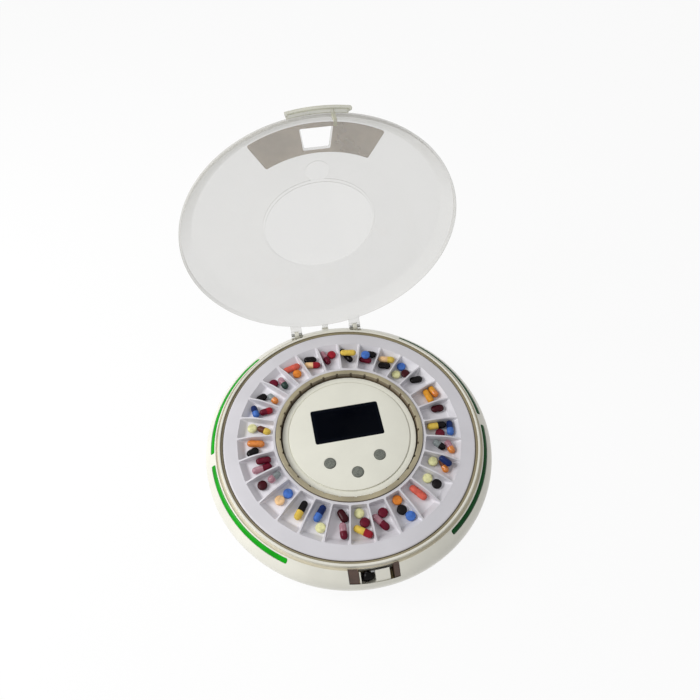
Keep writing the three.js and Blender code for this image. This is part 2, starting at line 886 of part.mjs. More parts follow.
function hubCover() {
  const plate = turned([
    [0, coverBottom],
    [coverRadius, coverBottom],
    [coverRadius, coverEdgeTop],
    [coverStepRadius, coverEdgeTop],
    [coverStepRadius, coverTop],
    [0, coverTop],
  ], wideFacets);
  const posts = around(coverPostCount, coverPostStartAngle, (angle) => cylinder(
    ...polar(coverPostDistance, angle), coverPostRadius, boardTop + seatGap,
    coverBottom + seatGap, pinFacets));
  const recess = centredBox(
    windowWidth + seatGap, windowDepth + seatGap, windowY,
    windowBottom - seatGap, coverTop + overrun);
  const opening = centredBox(
    windowWidth - 2 * windowLedge, windowDepth - 2 * windowLedge, windowY,
    coverBottom - overrun, coverTop);
  const holes = buttonPlaces().map(([, x, y]) => cylinder(
    x, y, buttonRadius + seatGap, coverBottom - overrun, coverTop + overrun, smallFacets));
  return cut(joined([plate, ...posts]), [recess, opening, ...holes]);
}

function displayWindow() {
  return centredBox(windowWidth, windowDepth, windowY, windowBottom, windowTop);
}

function lcdModule() {
  return centredBox(
    windowWidth - lcdMargin, windowDepth - lcdMargin, windowY, lcdTop - lcdThickness, lcdTop);
}

function button(x, y) {
  const flangeTop = coverBottom - seatGap;
  const flangeBottom = flangeTop - buttonFlangeDepth;
  const stemBottom = boardTop + switchHeight + buttonTravel + seatGap;
  return joined([
    cylinder(x, y, buttonRadius, flangeBottom, coverTop + buttonProud, smallFacets),
    cylinder(x, y, buttonRadius + buttonFlange, flangeBottom, flangeTop, smallFacets),
    cylinder(x, y, buttonStemRadius, stemBottom, flangeTop, pinFacets),
  ]);
}

function mainBoard() {
  const plate = disc(boardRadius, boardTop - boardThickness, boardTop, smallFacets * 2);
  const half = switchSize / 2;
  const switches = buttonPlaces().map(([, x, y]) => box(
    x - half, x + half, y - half, y + half,
    boardTop - boardThickness / 2, boardTop + switchHeight));
  return joined([plate, ...switches]);
}

function buzzer() {
  const bottom = boardTop + seatGap;
  return cylinder(buzzerX, buzzerY, buzzerRadius, bottom, bottom + buzzerHeight, smallFacets);
}

function traySensor() {
  const bottom = boardTop + seatGap;
  return box(
    sensorX - sensorWidth / 2, sensorX + sensorWidth / 2,
    sensorY - sensorDepth / 2, sensorY + sensorDepth / 2, bottom, bottom + sensorHeight);
}

// Lock

function lockHousing() {
  const top = lipTop;
  const left = lockLeft + seatGap;
  const right = lockRight - seatGap;
  const inner = lockInnerRadius + seatGap;
  const outer = lockOuterRadius - seatGap;
  const block = lockRing(inner, outer, lockPocketBottom, top, left, right);
  const floorTop = lockPocketBottom + lockFloor;
  const middle = box(
    left + leftCheekWidth, right - rightCheekWidth, -deepCut, 0, floorTop, top + overrun);
  const boltHole = box(
    0, boltRestTip + boltTravel + 2 * boltClearance,
    -lockInnerRadius - 2 * camThickness, 0,
    boltBottom - boltClearance, boltBottom + boltHeight + boltClearance);
  return cut(block.intersect(underShoulder(lockSurfaceDrop)), [middle, boltHole]);
}

function lockBarrel() {
  const profile = [
    [0, -barrelFront],
    [barrelRadius / 2, -barrelFront],
    [barrelRadius * Math.cos(Math.PI / 6), -barrelFront + barrelNose / 2],
    [barrelRadius, -barrelFront + barrelNose],
    [barrelRadius, -barrelBack],
    [0, -barrelBack],
  ];
  const slot = box(
    -keySlotWidth / 2, keySlotWidth / 2, -keySlotHeight / 2, keySlotHeight / 2,
    -barrelFront - overrun, -barrelFront + keySlotDepth);
  const upright = turned(profile, smallFacets).subtract(slot);
  return upright.rotate(-90, 0, 0).translate(barrelX, 0, barrelZ);
}

function lockCam() {
  const hub = disc(camHubRadius, -camThickness / 2, camThickness / 2, pinFacets);
  const lever = box(-camHalfWidth, camHalfWidth, 0, camReach, -camThickness / 2, camThickness / 2);
  return hub.add(lever).rotate(-90, 0, 0).translate(barrelX, boltY, barrelZ);
}

function lockBolt() {
  return box(
    boltRestTail, boltRestTip, boltY - camThickness / 2, boltY + camThickness / 2,
    boltBottom, boltBottom + boltHeight);
}

// The pale block of the lock, with the bore that the barrel turns in.
function latchBlock() {
  const bottom = lockPocketBottom + lockFloor + seatGap;
  const inner = -boltY + camThickness / 2 + boltClearance;
  const ring = lockRing(inner, lockOuterRadius - seatGap, bottom, lipTop, blockLeft, blockRight);
  const front = box(blockLeft, blockRight, -deepCut, -inner, bottom, lipTop);
  const bore = disc(barrelRadius + seatGap, 0, deepCut, smallFacets)
    .rotate(90, 0, 0)
    .translate(barrelX, 0, barrelZ);
  return ring.intersect(front).intersect(underShoulder(lockSurfaceDrop)).subtract(bore);
}

// Lid, drawn closed and then turned open about its hinge

function lidDish() {
  const dish = turned([
    [lidRimRadius, lidRimBottom],
    [lidRimRadius, lidRimTop],
    [lidPanelRadius, lidPanelTop],
    [0, lidPanelTop],
    [0, lidPanelBottom],
    [lidPanelRadius, lidPanelBottom],
    [lidRimRadius - lidWall, lidRimTop],
    [lidRimRadius - lidWall, lidRimBottom],
  ], wideFacets);
  const raised = cylinder(
    0, -lidDiscOut, lidDiscRadius, lidPanelBottom + lidDiscStep / 2,
    lidPanelTop + lidDiscStep, wideFacets);
  const hollow = cylinder(
    0, -lidDiscOut, lidDiscRadius - lidWall, lidRimTop, lidPanelBottom + lidDiscStep, wideFacets);
  return dish.add(raised).subtract(hollow);
}

function lidArm(x) {
  const half = hingeArmWidth / 2;
  const start = hingeY - 4 * hingeArmRise;
  const low = lidRimBottom + seatGap;
  const high = low + hingeArmRise;
  const outline = [
    [start, low],
    [lidRimRadius - lidWall, low],
    [hingeY - hingeKnuckleRadius * Math.cos(Math.PI / 6), hingeZ - hingeKnuckleRadius / 2],
    [hingeY, hingeZ],
    [hingeY - hingeKnuckleRadius / 2, hingeZ + hingeKnuckleRadius * Math.cos(Math.PI / 6)],
    [lidRimRadius - lidWall / 2, high],
    [start, high],
  ];
  const knuckle = crossPin(hingeY, hingeZ, hingeKnuckleRadius, x - half, x + half, smallFacets);
  const inside = disc(lidRimRadius - lidWall / 2, 0, deepCut, wideFacets);
  return across(outline, x - half, x + half).subtract(inside).add(knuckle);
}

function forkCuts(x) {
  const half = hingeLugWidth / 2 + seatGap;
  const deep = hingeKnuckleRadius + runGap;
  const pinHole = hingePinRadius + hingePinGap;
  const reach = hingeArmWidth / 2 + overrun;
  return [
    crossPin(hingeY, hingeZ, deep, x - half, x + half, smallFacets),
    crossPin(hingeY, hingeZ, pinHole, x - reach, x + reach, pinFacets),
  ];
}

function stopTab() {
  const half = stopTabWidth / 2;
  return box(
    -half, half, lidRimRadius - lidWall / 2, lidRimRadius + stopTabReach,
    stopTabTop - stopTabThickness, stopTabTop);
}

function openingOutline(margin) {
  const inner = openingInnerWidth / 2 + margin;
  const outer = openingOuterWidth / 2 + margin;
  const near = -(openingInner - margin);
  const far = -(openingOuter + margin);
  return [[-inner, near], [-outer, far], [outer, far], [inner, near]];
}

function lidShell() {
  const arms = hingeSides(lidArm);
  const dot = cylinder(
    0, -lidDotDistance, lidDotRadius, lidPanelTop - lidDotStep, lidPanelTop + lidDotStep,
    smallFacets);
  const whole = joined([lidDish(), ...arms, stopTab(), dot]);
  const opening = prism(openingOutline(0), lidRimTop, lidPanelTop + overrun);
  return cut(whole, [opening, ...hingeSides(forkCuts).flat()]);
}

function lidMask() {
  const top = lidPanelBottom - seatGap;
  const ring = tube(maskInner, maskOuter, top - maskThickness, top, wideFacets);
  const sector = wedge(180 - maskHalfAngle, 180 + maskHalfAngle, 0, deepCut);
  const hole = prism(openingOutline(maskOpeningMargin), lidRimTop, lidPanelTop);
  return ring.intersect(sector).subtract(hole);
}

function latchTab() {
  const face = -lidRimRadius;
  const nose = face - tabReach;
  const skin = [
    [face + overrun, tabTop],
    [face - tabReach + tabShoulderIn, tabTop],
    [nose + tabNoseIn, tabShoulderTop],
    [nose, tabNoseTop],
    [nose, tabBottom],
  ];
  const lining = skin.map(([y, z], i) => [y + (i > 1 ? tabWall : 0), z - (i < 4 ? tabWall : 0)]);
  const shell = across([...skin, ...lining.reverse()], -tabHalfWidth, tabHalfWidth);
  const cheek = [...skin, [face + overrun, tabTop - tabWall]];
  const cheeks = [-tabHalfWidth, tabHalfWidth - tabWall]
    .map((left) => across(cheek, left, left + tabWall));
  const lidRim = disc(lidRimRadius + seatGap, 0, deepCut, wideFacets);
  return cut(joined([shell, ...cheeks, latchHook()]), [lidRim]);
}

function latchHook() {
  const back = -(lockInnerRadius + seatGap);
  const bottom = boltBottom - boltClearance - hookBelowBolt;
  const plate = box(
    hookLeft, hookLeft + hookThickness, back - hookDepth, back - seatGap / 2,
    bottom, tabTop - tabWall / 2);
  const notch = box(
    hookLeft - overrun, hookLeft + hookThickness + overrun,
    boltY - camThickness / 2 - boltClearance, 0,
    boltBottom - boltClearance, boltBottom + boltHeight + boltClearance);
  return plate.subtract(notch);
}

// A point of the closed lid, where the open lid carries it.
function openPlace(x, y, z) {
  const turn = -lidOpenAngle * degree;
  const across = y - hingeY;
  const up = z - hingeZ;
  return [
    x,
    hingeY + across * Math.cos(turn) - up * Math.sin(turn),
    hingeZ + across * Math.sin(turn) + up * Math.cos(turn),
  ];
}

function hingePin(x) {
  const half = hingeArmWidth / 2;
  return crossPin(hingeY, hingeZ, hingePinRadius, x - half, x + half, pinFacets);
}

// Underside and batteries

function foot(x, y) {
  return cylinder(x, y, footRadius, 0, baseBottom + footSink - seatGap, smallFacets);
}

function screw(x, y) {
  const headTop = standoffTop - screwFloor - seatGap;
  const headBottom = headTop - screwHeadHeight;
  const head = cylinder(x, y, screwHeadRadius, headBottom, headTop, pinFacets);
  const shaft = cylinder(x, y, screwShaftRadius, headTop - seatGap, headTop + screwLength, pinFacets);
  return head.add(shaft);
}

function battery(index) {
  const x = (index - (batteryCount - 1) / 2) * batteryPitch;
  const way = index % 2 === 0 ? 1 : -1;
  const can = disc(batteryRadius, -batteryLength / 2, batteryLength / 2, smallFacets);
  const nub = disc(
    batteryNubRadius, batteryLength / 2 - batteryNub, batteryLength / 2 + batteryNub, pinFacets);
  return can.add(nub).rotate(-90 * way, 0, 0).translate(x, batteryY, batteryZ);
}

function contactPlate(way) {
  const half = bayHalfX - seatGap;
  const inner = batteryY + way * (batteryLength / 2 + batteryNub + seatGap);
  const outer = inner + way * contactThickness;
  const bottom = batteryZ - contactHeight / 2;
  return box(
    -half, half, Math.min(inner, outer), Math.max(inner, outer), bottom, bottom + contactHeight);
}

// The whole box

place(pillBox, 'base_shell', baseShell(), cream());
place(pillBox, 'top_housing', topHousing(), cream());
place(pillBox, 'pill_tray', pillTray(), trayPlastic());
place(pillBox, 'tray_collar', trayCollar(), smoky());
place(pillBox, 'drive_pinion', drivePinion(), whitePlastic());
place(pillBox, 'drive_motor', driveMotor(), steel());
place(pillBox, 'hub_cover', hubCover(), cream());
place(pillBox, 'display_window', displayWindow(), darkGlass());
place(pillBox, 'lcd_module', lcdModule(), blackPlastic());
buttonPlaces().forEach(([name, x, y]) => place(pillBox, name, button(x, y), greyRubber()));
place(pillBox, 'main_board', mainBoard(), board());
place(pillBox, 'buzzer', buzzer(), blackPlastic());
place(pillBox, 'tray_sensor', traySensor(), blackPlastic());
lightSpans().forEach(([from, to], i) => {
  place(pillBox, `light_window_${i + 1}`, lightWindow(from, to), greenLight());
  place(pillBox, `led_strip_${i + 1}`, lightStrip(from, to), board());
});
place(pillBox, 'lock_housing', lockHousing(), brownPlastic());
place(pillBox, 'lock_barrel', lockBarrel(), blackPlastic());
place(pillBox, 'lock_cam', lockCam(), steel());
place(pillBox, 'lock_bolt', lockBolt(), steel());
place(pillBox, 'latch_block', latchBlock(), cream());
place(pillBox, 'hinge_pin_left', hingePin(-hingeArmX), steel());
place(pillBox, 'hinge_pin_right', hingePin(hingeArmX), steel());
place(pillBox, 'battery_door', batteryDoor(), cream());
Array.from({ length: batteryCount }, (_, i) =>
  place(pillBox, `battery_${i + 1}`, battery(i), batteryWrap()));
place(pillBox, 'contact_plate_front', contactPlate(-1), steel());
place(pillBox, 'contact_plate_rear', contactPlate(1), steel());
footPlaces((at) => at).forEach((at, i) =>
  place(pillBox, `foot_${i + 1}`, foot(...at), rubber()));
screwPlaces((at) => at).forEach((at, i) =>
  place(pillBox, `housing_screw_${i + 1}`, screw(...at), steel()));

place(lid, 'lid_shell', lidShell(), clear());
place(lid, 'lid_mask', lidMask(), tinted());
place(lid, 'latch_tab', latchTab(), tinted());
lid.children.forEach((mesh) => mesh.position.set(0, -hingeY, -hingeZ));
lid.position.set(0, hingeY, hingeZ);
lid.rotation.x = -lidOpenAngle * degree;
pillBox.add(lid);

export default pillBox;
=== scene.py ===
"""Looks of a round electronic pill box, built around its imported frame.

Sizes are in millimetres until a piece is finished, then everything is in metres.
Compass angles run clockwise from the back (+Y), seen from above.
"""

from __future__ import annotations

import json
import logging
import math
from collections.abc import Callable, Sequence
from dataclasses import dataclass
from enum import Enum
from functools import cache

import bmesh
import bpy
from mathutils import Matrix, Vector


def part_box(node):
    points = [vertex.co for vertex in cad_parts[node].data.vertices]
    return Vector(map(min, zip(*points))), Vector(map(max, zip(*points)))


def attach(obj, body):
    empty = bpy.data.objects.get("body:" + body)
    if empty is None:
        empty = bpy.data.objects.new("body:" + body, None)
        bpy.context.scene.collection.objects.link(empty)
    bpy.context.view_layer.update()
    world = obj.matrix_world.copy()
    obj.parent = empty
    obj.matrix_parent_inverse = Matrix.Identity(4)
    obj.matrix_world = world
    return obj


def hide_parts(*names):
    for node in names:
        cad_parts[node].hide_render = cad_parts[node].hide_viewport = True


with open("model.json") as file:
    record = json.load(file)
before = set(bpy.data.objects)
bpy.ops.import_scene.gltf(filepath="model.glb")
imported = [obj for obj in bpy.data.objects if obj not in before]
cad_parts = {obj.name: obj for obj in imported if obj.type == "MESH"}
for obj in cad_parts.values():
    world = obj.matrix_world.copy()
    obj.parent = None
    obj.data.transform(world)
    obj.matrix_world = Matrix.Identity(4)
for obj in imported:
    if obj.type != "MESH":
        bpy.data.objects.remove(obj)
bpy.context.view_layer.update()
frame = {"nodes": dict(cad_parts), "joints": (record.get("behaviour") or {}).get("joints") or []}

MM = 0.001
TINY = 1e-4
FULL_TURN = 360.0
HALF_TURN = 180.0
QUARTER_TURN = 90.0
FINE_STEPS = 240
SMALL_STEPS = 40
ROUND_STEPS = 4
SHARP_ANGLE = 34.0
SHARP_PILL_ANGLE = 50.0
OVERLAP = 0.3
SLIM_RADIUS = 2.5
FRONT_SWEEP = (60, -105.0, 30.0)

log = logging.getLogger("pill_box")

Corner = tuple[float, ...]
Colour = tuple[float, float, float]


class Body(Enum):
    """The moving bodies of the frame."""

    CASING = "casing"
    TRAY = "tray"
    LID = "lid"
    LOCK = "lock"
    DOOR = "door"
    LEFT_BUTTON = "left_button"
    MIDDLE_BUTTON = "middle_button"
    RIGHT_BUTTON = "right_button"


class Slot(Enum):
    """The record's material slots, which some finishes name."""

    CREAM = "casing_cream"
    TRAY = "tray_plastic"
    COLLAR = "collar_smoky"
    STEEL = "bright_steel"
    DISPLAY = "display_glass"
    BLACK = "black_gloss"
    BROWN = "brown_plastic"
    BUTTON = "button_grey"
    LIGHT = "green_light"
    RUBBER = "foot_rubber"
    CLEAR = "lid_clear"
    MASK = "mask_tinted"
    TAB = "tab_tinted"


class Carve(Enum):
    """What a tool does to a shape."""

    CUT = "DIFFERENCE"
    JOIN = "UNION"
    KEEP = "INTERSECT"


class Facing(Enum):
    """The two directions of an outline, and the one it is drawn along."""

    FRONT = ((1, 0, 0), (0, 0, 1), (0, 1, 0))
    TOP = ((1, 0, 0), (0, 1, 0), (0, 0, 1))
    SIDE = ((0, 1, 0), (0, 0, 1), (1, 0, 0))


def linear(colour: Colour, alpha: float = 1.0) -> tuple[float, ...]:
    """Turns a display colour of 0 to 255 into Blender's linear values.

    Args:
        colour: Red, green and blue from 0 to 255.
        alpha: The fourth value.

    Returns:
        Four linear values.
    """
    shares = [max(0.0, min(255.0, part)) / 255 for part in colour]
    light = [s / 12.92 if s <= 0.04045 else ((s + 0.055) / 1.055) ** 2.4 for s in shares]
    return (*light, alpha)


def scaled(colour: Colour, factor: float) -> Colour:
    """The same colour, brighter or darker by a factor."""
    return tuple(part * factor for part in colour)


def polar(radius: float, angle: float) -> tuple[float, float]:
    """A place at an angle turned anticlockwise from +X, in degrees."""
    return radius * math.cos(math.radians(angle)), radius * math.sin(math.radians(angle))


def joint(name: str) -> dict:
    """A joint of the frame."""
    return next(item for item in frame["joints"] if item["name"] == name)


def joint_place(name: str) -> Corner:
    """A point on a joint's axis, in millimetres."""
    return tuple(round(value / MM, 3) for value in joint(name)["pos_m"])


def centre_of(node: str) -> Corner:
    """The middle of a node, seen from above, in millimetres."""
    low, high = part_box(node)
    return tuple(round((low[axis] + high[axis]) / 2 / MM, 2) for axis in range(2))


def shift(x: float, y: float, z: float = 0.0) -> Matrix:
    """A move along the axes, in millimetres."""
    return Matrix.Translation((x, y, z))


def turn(angle: float, axis: str = "Z", centre: Sequence[float] = (0, 0, 0)) -> Matrix:
    """A turn about an axis through a centre.

    Args:
        angle: Degrees, by the right-hand rule.
        axis: X, Y or Z.
        centre: A point on the axis.

    Returns:
        The transform.
    """
    there = Matrix.Translation(centre)
    return there @ Matrix.Rotation(math.radians(angle), 4, axis) @ there.inverted()


class Shader:
    """A node material built round one Principled shader."""

    def __init__(self, name: str) -> None:
        """Starts a material.

        Args:
            name: The material's name.
        """
        self.material = bpy.data.materials.new(name)
        self.material.use_nodes = True
        self.nodes = self.material.node_tree.nodes
        self.links = self.material.node_tree.links
        self.principled = self.nodes["Principled BSDF"]
        self.place = self.nodes.new("ShaderNodeTexCoord").outputs["Object"]

    def plain(self, **values: float | tuple[float, ...]) -> None:
        """Sets sockets of the Principled shader; underscores stand for spaces."""
        for key, value in values.items():
            self.principled.inputs[key.replace("_", " ")].default_value = value

    def feed(self, socket: str, source: bpy.types.NodeSocket) -> None:
        """Links a source to a socket of the Principled shader."""
        self.links.new(source, self.principled.inputs[socket])

    def stretched(self, stretch: Sequence[float]) -> bpy.types.NodeSocket:
        """Object coordinates scaled along each axis.

        Args:
            stretch: The three factors.

        Returns:
            The scaled coordinates.
        """
        mapping = self.nodes.new("ShaderNodeMapping")
        mapping.inputs["Scale"].default_value = stretch
        self.links.new(self.place, mapping.inputs["Vector"])
        return mapping.outputs["Vector"]

    def noise(self, size: float, detail: float = 3.0,
              stretch: Sequence[float] = (1, 1, 1)) -> bpy.types.NodeSocket:
        """Soft noise.

        Args:
            size: The size of one patch in millimetres.
            detail: How many finer layers it has.
            stretch: Factors along the three axes.

        Returns:
            Its value, from 0 to 1.
        """
        node = self.nodes.new("ShaderNodeTexNoise")
        node.inputs["Scale"].default_value = 1 / (size * MM)
        node.inputs["Detail"].default_value = detail
        self.links.new(self.stretched(stretch), node.inputs["Vector"])
        return node.outputs["Fac"]

    def between(self, source: bpy.types.NodeSocket, low: float, high: float,
                start: float = 0.3, end: float = 0.7) -> bpy.types.NodeSocket:
        """Maps a value's range to another.

        Args:
            source: The value.
            low: The result at the start.
            high: The result at the end.
            start: Where the source's range starts.
            end: Where it ends.

        Returns:
            The mapped value.
        """
        node = self.nodes.new("ShaderNodeMapRange")
        limits = {"From Min": start, "From Max": end, "To Min": low, "To Max": high}
        for key, value in limits.items():
            node.inputs[key].default_value = value
        self.links.new(source, node.inputs["Value"])
        return node.outputs["Result"]

    def mixed(self, factor: bpy.types.NodeSocket, first: Colour, second: Colour,
              start: float = 0.35, end: float = 0.65) -> bpy.types.NodeSocket:
        """Runs from one colour to another.

        Args:
            factor: The value that picks between them.
            first: The display colour at the start.
            second: The display colour at the end.
            start: The factor at which the run starts.
            end: The factor at which it ends.

        Returns:
            The colour.
        """
        ramp = self.nodes.new("ShaderNodeValToRGB")
        ends = ramp.color_ramp.elements
        ends[0].position, ends[1].position = start, end
        ends[0].color, ends[1].color = linear(first), linear(second)
        self.links.new(factor, ramp.inputs["Fac"])
        return ramp.outputs["Color"]

    def raised(self, height: bpy.types.NodeSocket, depth: float,
               below: bpy.types.NodeSocket | None = None) -> bpy.types.NodeSocket:
        """Bumps the surface.

        Args:
            height: The value that raises it.
            depth: The height of the relief in millimetres.
            below: A coarser relief that this one lies on.

        Returns:
            The bumped normal.
        """
        bump = self.nodes.new("ShaderNodeBump")
        bump.inputs["Distance"].default_value = depth * MM
        self.links.new(height, bump.inputs["Height"])
        if below:
            self.links.new(below, bump.inputs["Normal"])
        return bump.outputs["Normal"]


@dataclass(frozen=True)
class Finish:
    """An opaque moulded, coated or metal surface with a slow cloudiness and a fine grain."""

    name: str
    colour: Colour
    roughness: float = 0.35
    slot: Slot | None = None
    metal: float = 0.0
    cloud: float = 0.02
    cloud_size: float = 28.0
    grain_size: float = 0.45
    grain_depth: float = 0.006
    stretch: tuple[float, float, float] = (1, 1, 1)
    specular: float = 0.5
    coat: float = 0.0

    def shader(self) -> Shader:
        """The nodes that every finish shares, which a kind of finish adds to."""
        skin = Shader(self.name)
        drift = skin.noise(self.cloud_size, 4)
        skin.feed("Base Color", skin.mixed(
            drift, scaled(self.colour, 1 - self.cloud), scaled(self.colour, 1 + self.cloud)))
        grain = skin.noise(self.grain_size, 2, self.stretch)
        skin.feed("Roughness", skin.between(grain, self.roughness - 0.04, self.roughness + 0.05))
        waves = skin.raised(skin.noise(self.cloud_size / 3, 1), self.grain_depth * 3)
        skin.feed("Normal", skin.raised(grain, self.grain_depth, waves))
        skin.plain(Metallic=self.metal, Specular_IOR_Level=self.specular, Coat_Weight=self.coat)
        return skin

    @cache
    def material(self) -> bpy.types.Material:
        """The material, made the first time that a piece asks for it."""
        return self.shader().material


@dataclass(frozen=True)
class Mottled(Finish):
    """A rubber with fine darker and lighter specks."""

    speck: Colour = (80, 84, 78)
    speck_size: float = 0.7

    def shader(self) -> Shader:
        """The shared nodes and this kind's own."""
        skin = super().shader()
        specks = skin.noise(self.speck_size, 5)
        skin.feed("Base Color", skin.mixed(specks, self.speck, self.colour, 0.42, 0.58))
        return skin


@dataclass(frozen=True)
class PaintedGlow(Finish):
    """A translucent light guide with a lamp behind it, whose glow is painted light."""

    glow: float = 0.5

    def shader(self) -> Shader:
        """The shared nodes and this kind's own."""
        skin = super().shader()
        bands = skin.noise(9.0, 1)
        tone = skin.mixed(bands, scaled(self.colour, 0.9), self.colour, 0.3, 0.7)
        skin.feed("Base Color", tone)
        skin.feed("Emission Color", tone)
        skin.plain(Emission_Strength=self.glow)
        return skin


@dataclass(frozen=True)
class Clear(Finish):
    """A see-through moulding that is denser where it is seen edge-on."""

    density: float = 0.3
    edge_density: float = 0.85

    def shader(self) -> Shader:
        """The shared nodes and this kind's own."""
        skin = super().shader()
        facing = skin.nodes.new("ShaderNodeLayerWeight")
        facing.inputs["Blend"].default_value = 0.35
        skin.feed("Alpha", skin.between(
            facing.outputs["Facing"], self.density, self.edge_density, 0.25, 0.95))
        skin.material.surface_render_method = "DITHERED"
        return skin


class Shape:
    """A solid in the making, in millimetres."""

    def __init__(self) -> None:
        """Starts with nothing."""
        self.bm = bmesh.new()

    @classmethod
    def outline(cls, corners: Sequence[Corner], facing: Facing) -> Shape:
        """A flat face whose corners are rounded.

        Args:
            corners: Two coordinates for each corner, and its rounding if it has one.
            facing: The plane it lies in.

        Returns:
            The face.
        """
        shape = cls()
        right, up = Vector(facing.value[0]), Vector(facing.value[1])
        points = [shape.bm.verts.new(right * c[0] + up * c[1]) for c in corners]
        shape.bm.faces.new(points)
        for size in sorted({c[2] for c in corners if len(c) > 2 and c[2] > 0}):
            group = [p for p, c in zip(points, corners) if len(c) > 2 and c[2] == size]
            bmesh.ops.bevel(
                shape.bm, geom=group, offset=size, offset_type="OFFSET", segments=ROUND_STEPS,
                profile=0.5, affect="VERTICES", clamp_overlap=True, material=-1)
        return shape

    @classmethod
    def turned(cls, corners: Sequence[Corner], steps: int = FINE_STEPS, start: float = 0.0,
               sweep: float = FULL_TURN) -> Shape:
        """An outline of radius and height, turned about the vertical axis.

        Args:
            corners: Radius, height and rounding of each corner.
            steps: How many steps the sweep has.
            start: Where it starts, anticlockwise from +X, in degrees.
            sweep: How far it goes.

        Returns:
            The closed solid.
        """
        shape = cls.outline(corners, Facing.FRONT)
        bm = shape.bm
        whole = sweep >= FULL_TURN
        if whole:
            bmesh.ops.delete(bm, geom=bm.faces[:], context="FACES_ONLY")
            spine = [e for e in bm.edges if all(abs(v.co.x) < TINY for v in e.verts)]
            bmesh.ops.delete(bm, geom=spine, context="EDGES")
        bmesh.ops.transform(bm, matrix=turn(start), verts=bm.verts[:])
        bmesh.ops.spin(
            bm, geom=bm.verts[:] + bm.edges[:] + bm.faces[:], cent=(0, 0, 0), axis=(0, 0, 1),
            dvec=(0, 0, 0), angle=math.radians(sweep), steps=steps, use_merge=whole,
            use_normal_flip=False, use_duplicate=False)
        return shape.tidied()

    @classmethod
    def drawn(cls, corners: Sequence[Corner], facing: Facing, start: float,
              end: float) -> Shape:
        """An outline drawn straight along its third direction.

        Args:
            corners: Two coordinates for each corner, and its rounding.
            facing: The plane of the outline.
            start: Where the solid starts along the third direction.
            end: Where it ends.

        Returns:
            The closed solid.
        """
        shape = cls.outline(corners, facing)
        along = Vector(facing.value[2])
        bmesh.ops.translate(shape.bm, verts=shape.bm.verts[:], vec=along * start)
        made = bmesh.ops.extrude_face_region(shape.bm, geom=shape.bm.faces[:])
        moved = [g for g in made["geom"] if isinstance(g, bmesh.types.BMVert)]
        bmesh.ops.translate(shape.bm, verts=moved, vec=along * (end - start))
        return shape.tidied()

    @classmethod
    def slab(cls, near: Corner, far: Corner, corner: float, bottom: float, top: float) -> Shape:
        """A flat plate whose upright edges are rounded.

        Args:
            near: The lower of two opposite corners, seen from above.
            far: The other corner.
            corner: The radius of its corners.
            bottom: Its lower face.
            top: Its upper face.

        Returns:
            The plate.
        """
        (left, front), (right, back) = near, far
        return cls.drawn([(left, front, corner), (right, front, corner), (right, back, corner),
                          (left, back, corner)], Facing.TOP, bottom, top)

    @classmethod
    def block(cls, low: Sequence[float], high: Sequence[float], rounding: float = 0.0) -> Shape:
        """A box between its lowest and its highest corner, with rounded edges.

        Args:
            low: Its lowest corner.
            high: Its highest corner.
            rounding: The radius of its edges.

        Returns:
            The box.
        """
        shape = cls()
        size = Vector(high) - Vector(low)
        middle = (Vector(high) + Vector(low)) / 2
        bmesh.ops.create_cube(
            shape.bm, size=1, matrix=Matrix.Translation(middle) @ Matrix.Diagonal((*size, 1)))
        return shape.bevelled(lambda edge: True, rounding)

    @classmethod
    def rod(cls, radius: float, bottom: float, top: float, rounding: float = 0.0,
            steps: int = SMALL_STEPS) -> Shape:
        """An upright round rod.

        Args:
            radius: Its radius.
            bottom: Its lower end.
            top: Its upper end.
            rounding: The radius of its two edges.
            steps: How many steps go round.

        Returns:
            The rod.
        """
        return cls.turned([
            (0, bottom), (radius, bottom, rounding), (radius, top, rounding), (0, top)], steps)

    def tidied(self) -> Shape:
        """Merges doubles and turns the faces outwards."""
        bmesh.ops.remove_doubles(self.bm, verts=self.bm.verts[:], dist=TINY)
        bmesh.ops.recalc_face_normals(self.bm, faces=self.bm.faces[:])
        return self

    def bevelled(self, chosen: Callable[[bmesh.types.BMEdge], bool], width: float,
                 segments: int = 3) -> Shape:
        """Rounds some edges.

        Args:
            chosen: Says whether an edge is rounded.
            width: The radius.
            segments: How many faces the round has.

        Returns:
            The same shape.
        """
        edges = [edge for edge in self.bm.edges if chosen(edge)]
        if width > 0 and edges:
            bmesh.ops.bevel(
                self.bm, geom=edges, offset=width, offset_type="OFFSET", segments=segments,
                profile=0.5, affect="EDGES", clamp_overlap=True, material=-1)
        return self

    def moved(self, matrix: Matrix) -> Shape:
        """Carries the shape to another place."""
        bmesh.ops.transform(self.bm, matrix=matrix, verts=self.bm.verts[:])
        return self

    def painted(self, index: int, chosen: Callable[[Vector], bool] = lambda middle: True) -> Shape:
        """Gives faces another of the piece's finishes.

        Args:
            index: Which finish.
            chosen: Says from its middle whether a face has it.

        Returns:
            The same shape.
        """
        for face in self.bm.faces:
            if chosen(face.calc_center_median()):
                face.material_index = index
        return self

    def beside(self, *others: Shape) -> Shape:
        """Takes other solids in, without merging them.

        Args:
            others: The solids, which are used up.

        Returns:
            The same shape.
        """
        for other in others:
            mesh = other.mesh("part")
            self.bm.from_mesh(mesh)
            bpy.data.meshes.remove(mesh)
        return self

    def around(self, count: int) -> Shape:
        """Repeats the shape at equal steps about the vertical axis."""
        step = FULL_TURN / count
        bmesh.ops.spin(
            self.bm, geom=self.bm.verts[:] + self.bm.edges[:] + self.bm.faces[:],
            cent=(0, 0, 0), axis=(0, 0, 1), dvec=(0, 0, 0),
            angle=math.radians(step * (count - 1)), steps=count - 1, use_merge=False,
            use_normal_flip=False, use_duplicate=True)
        return self

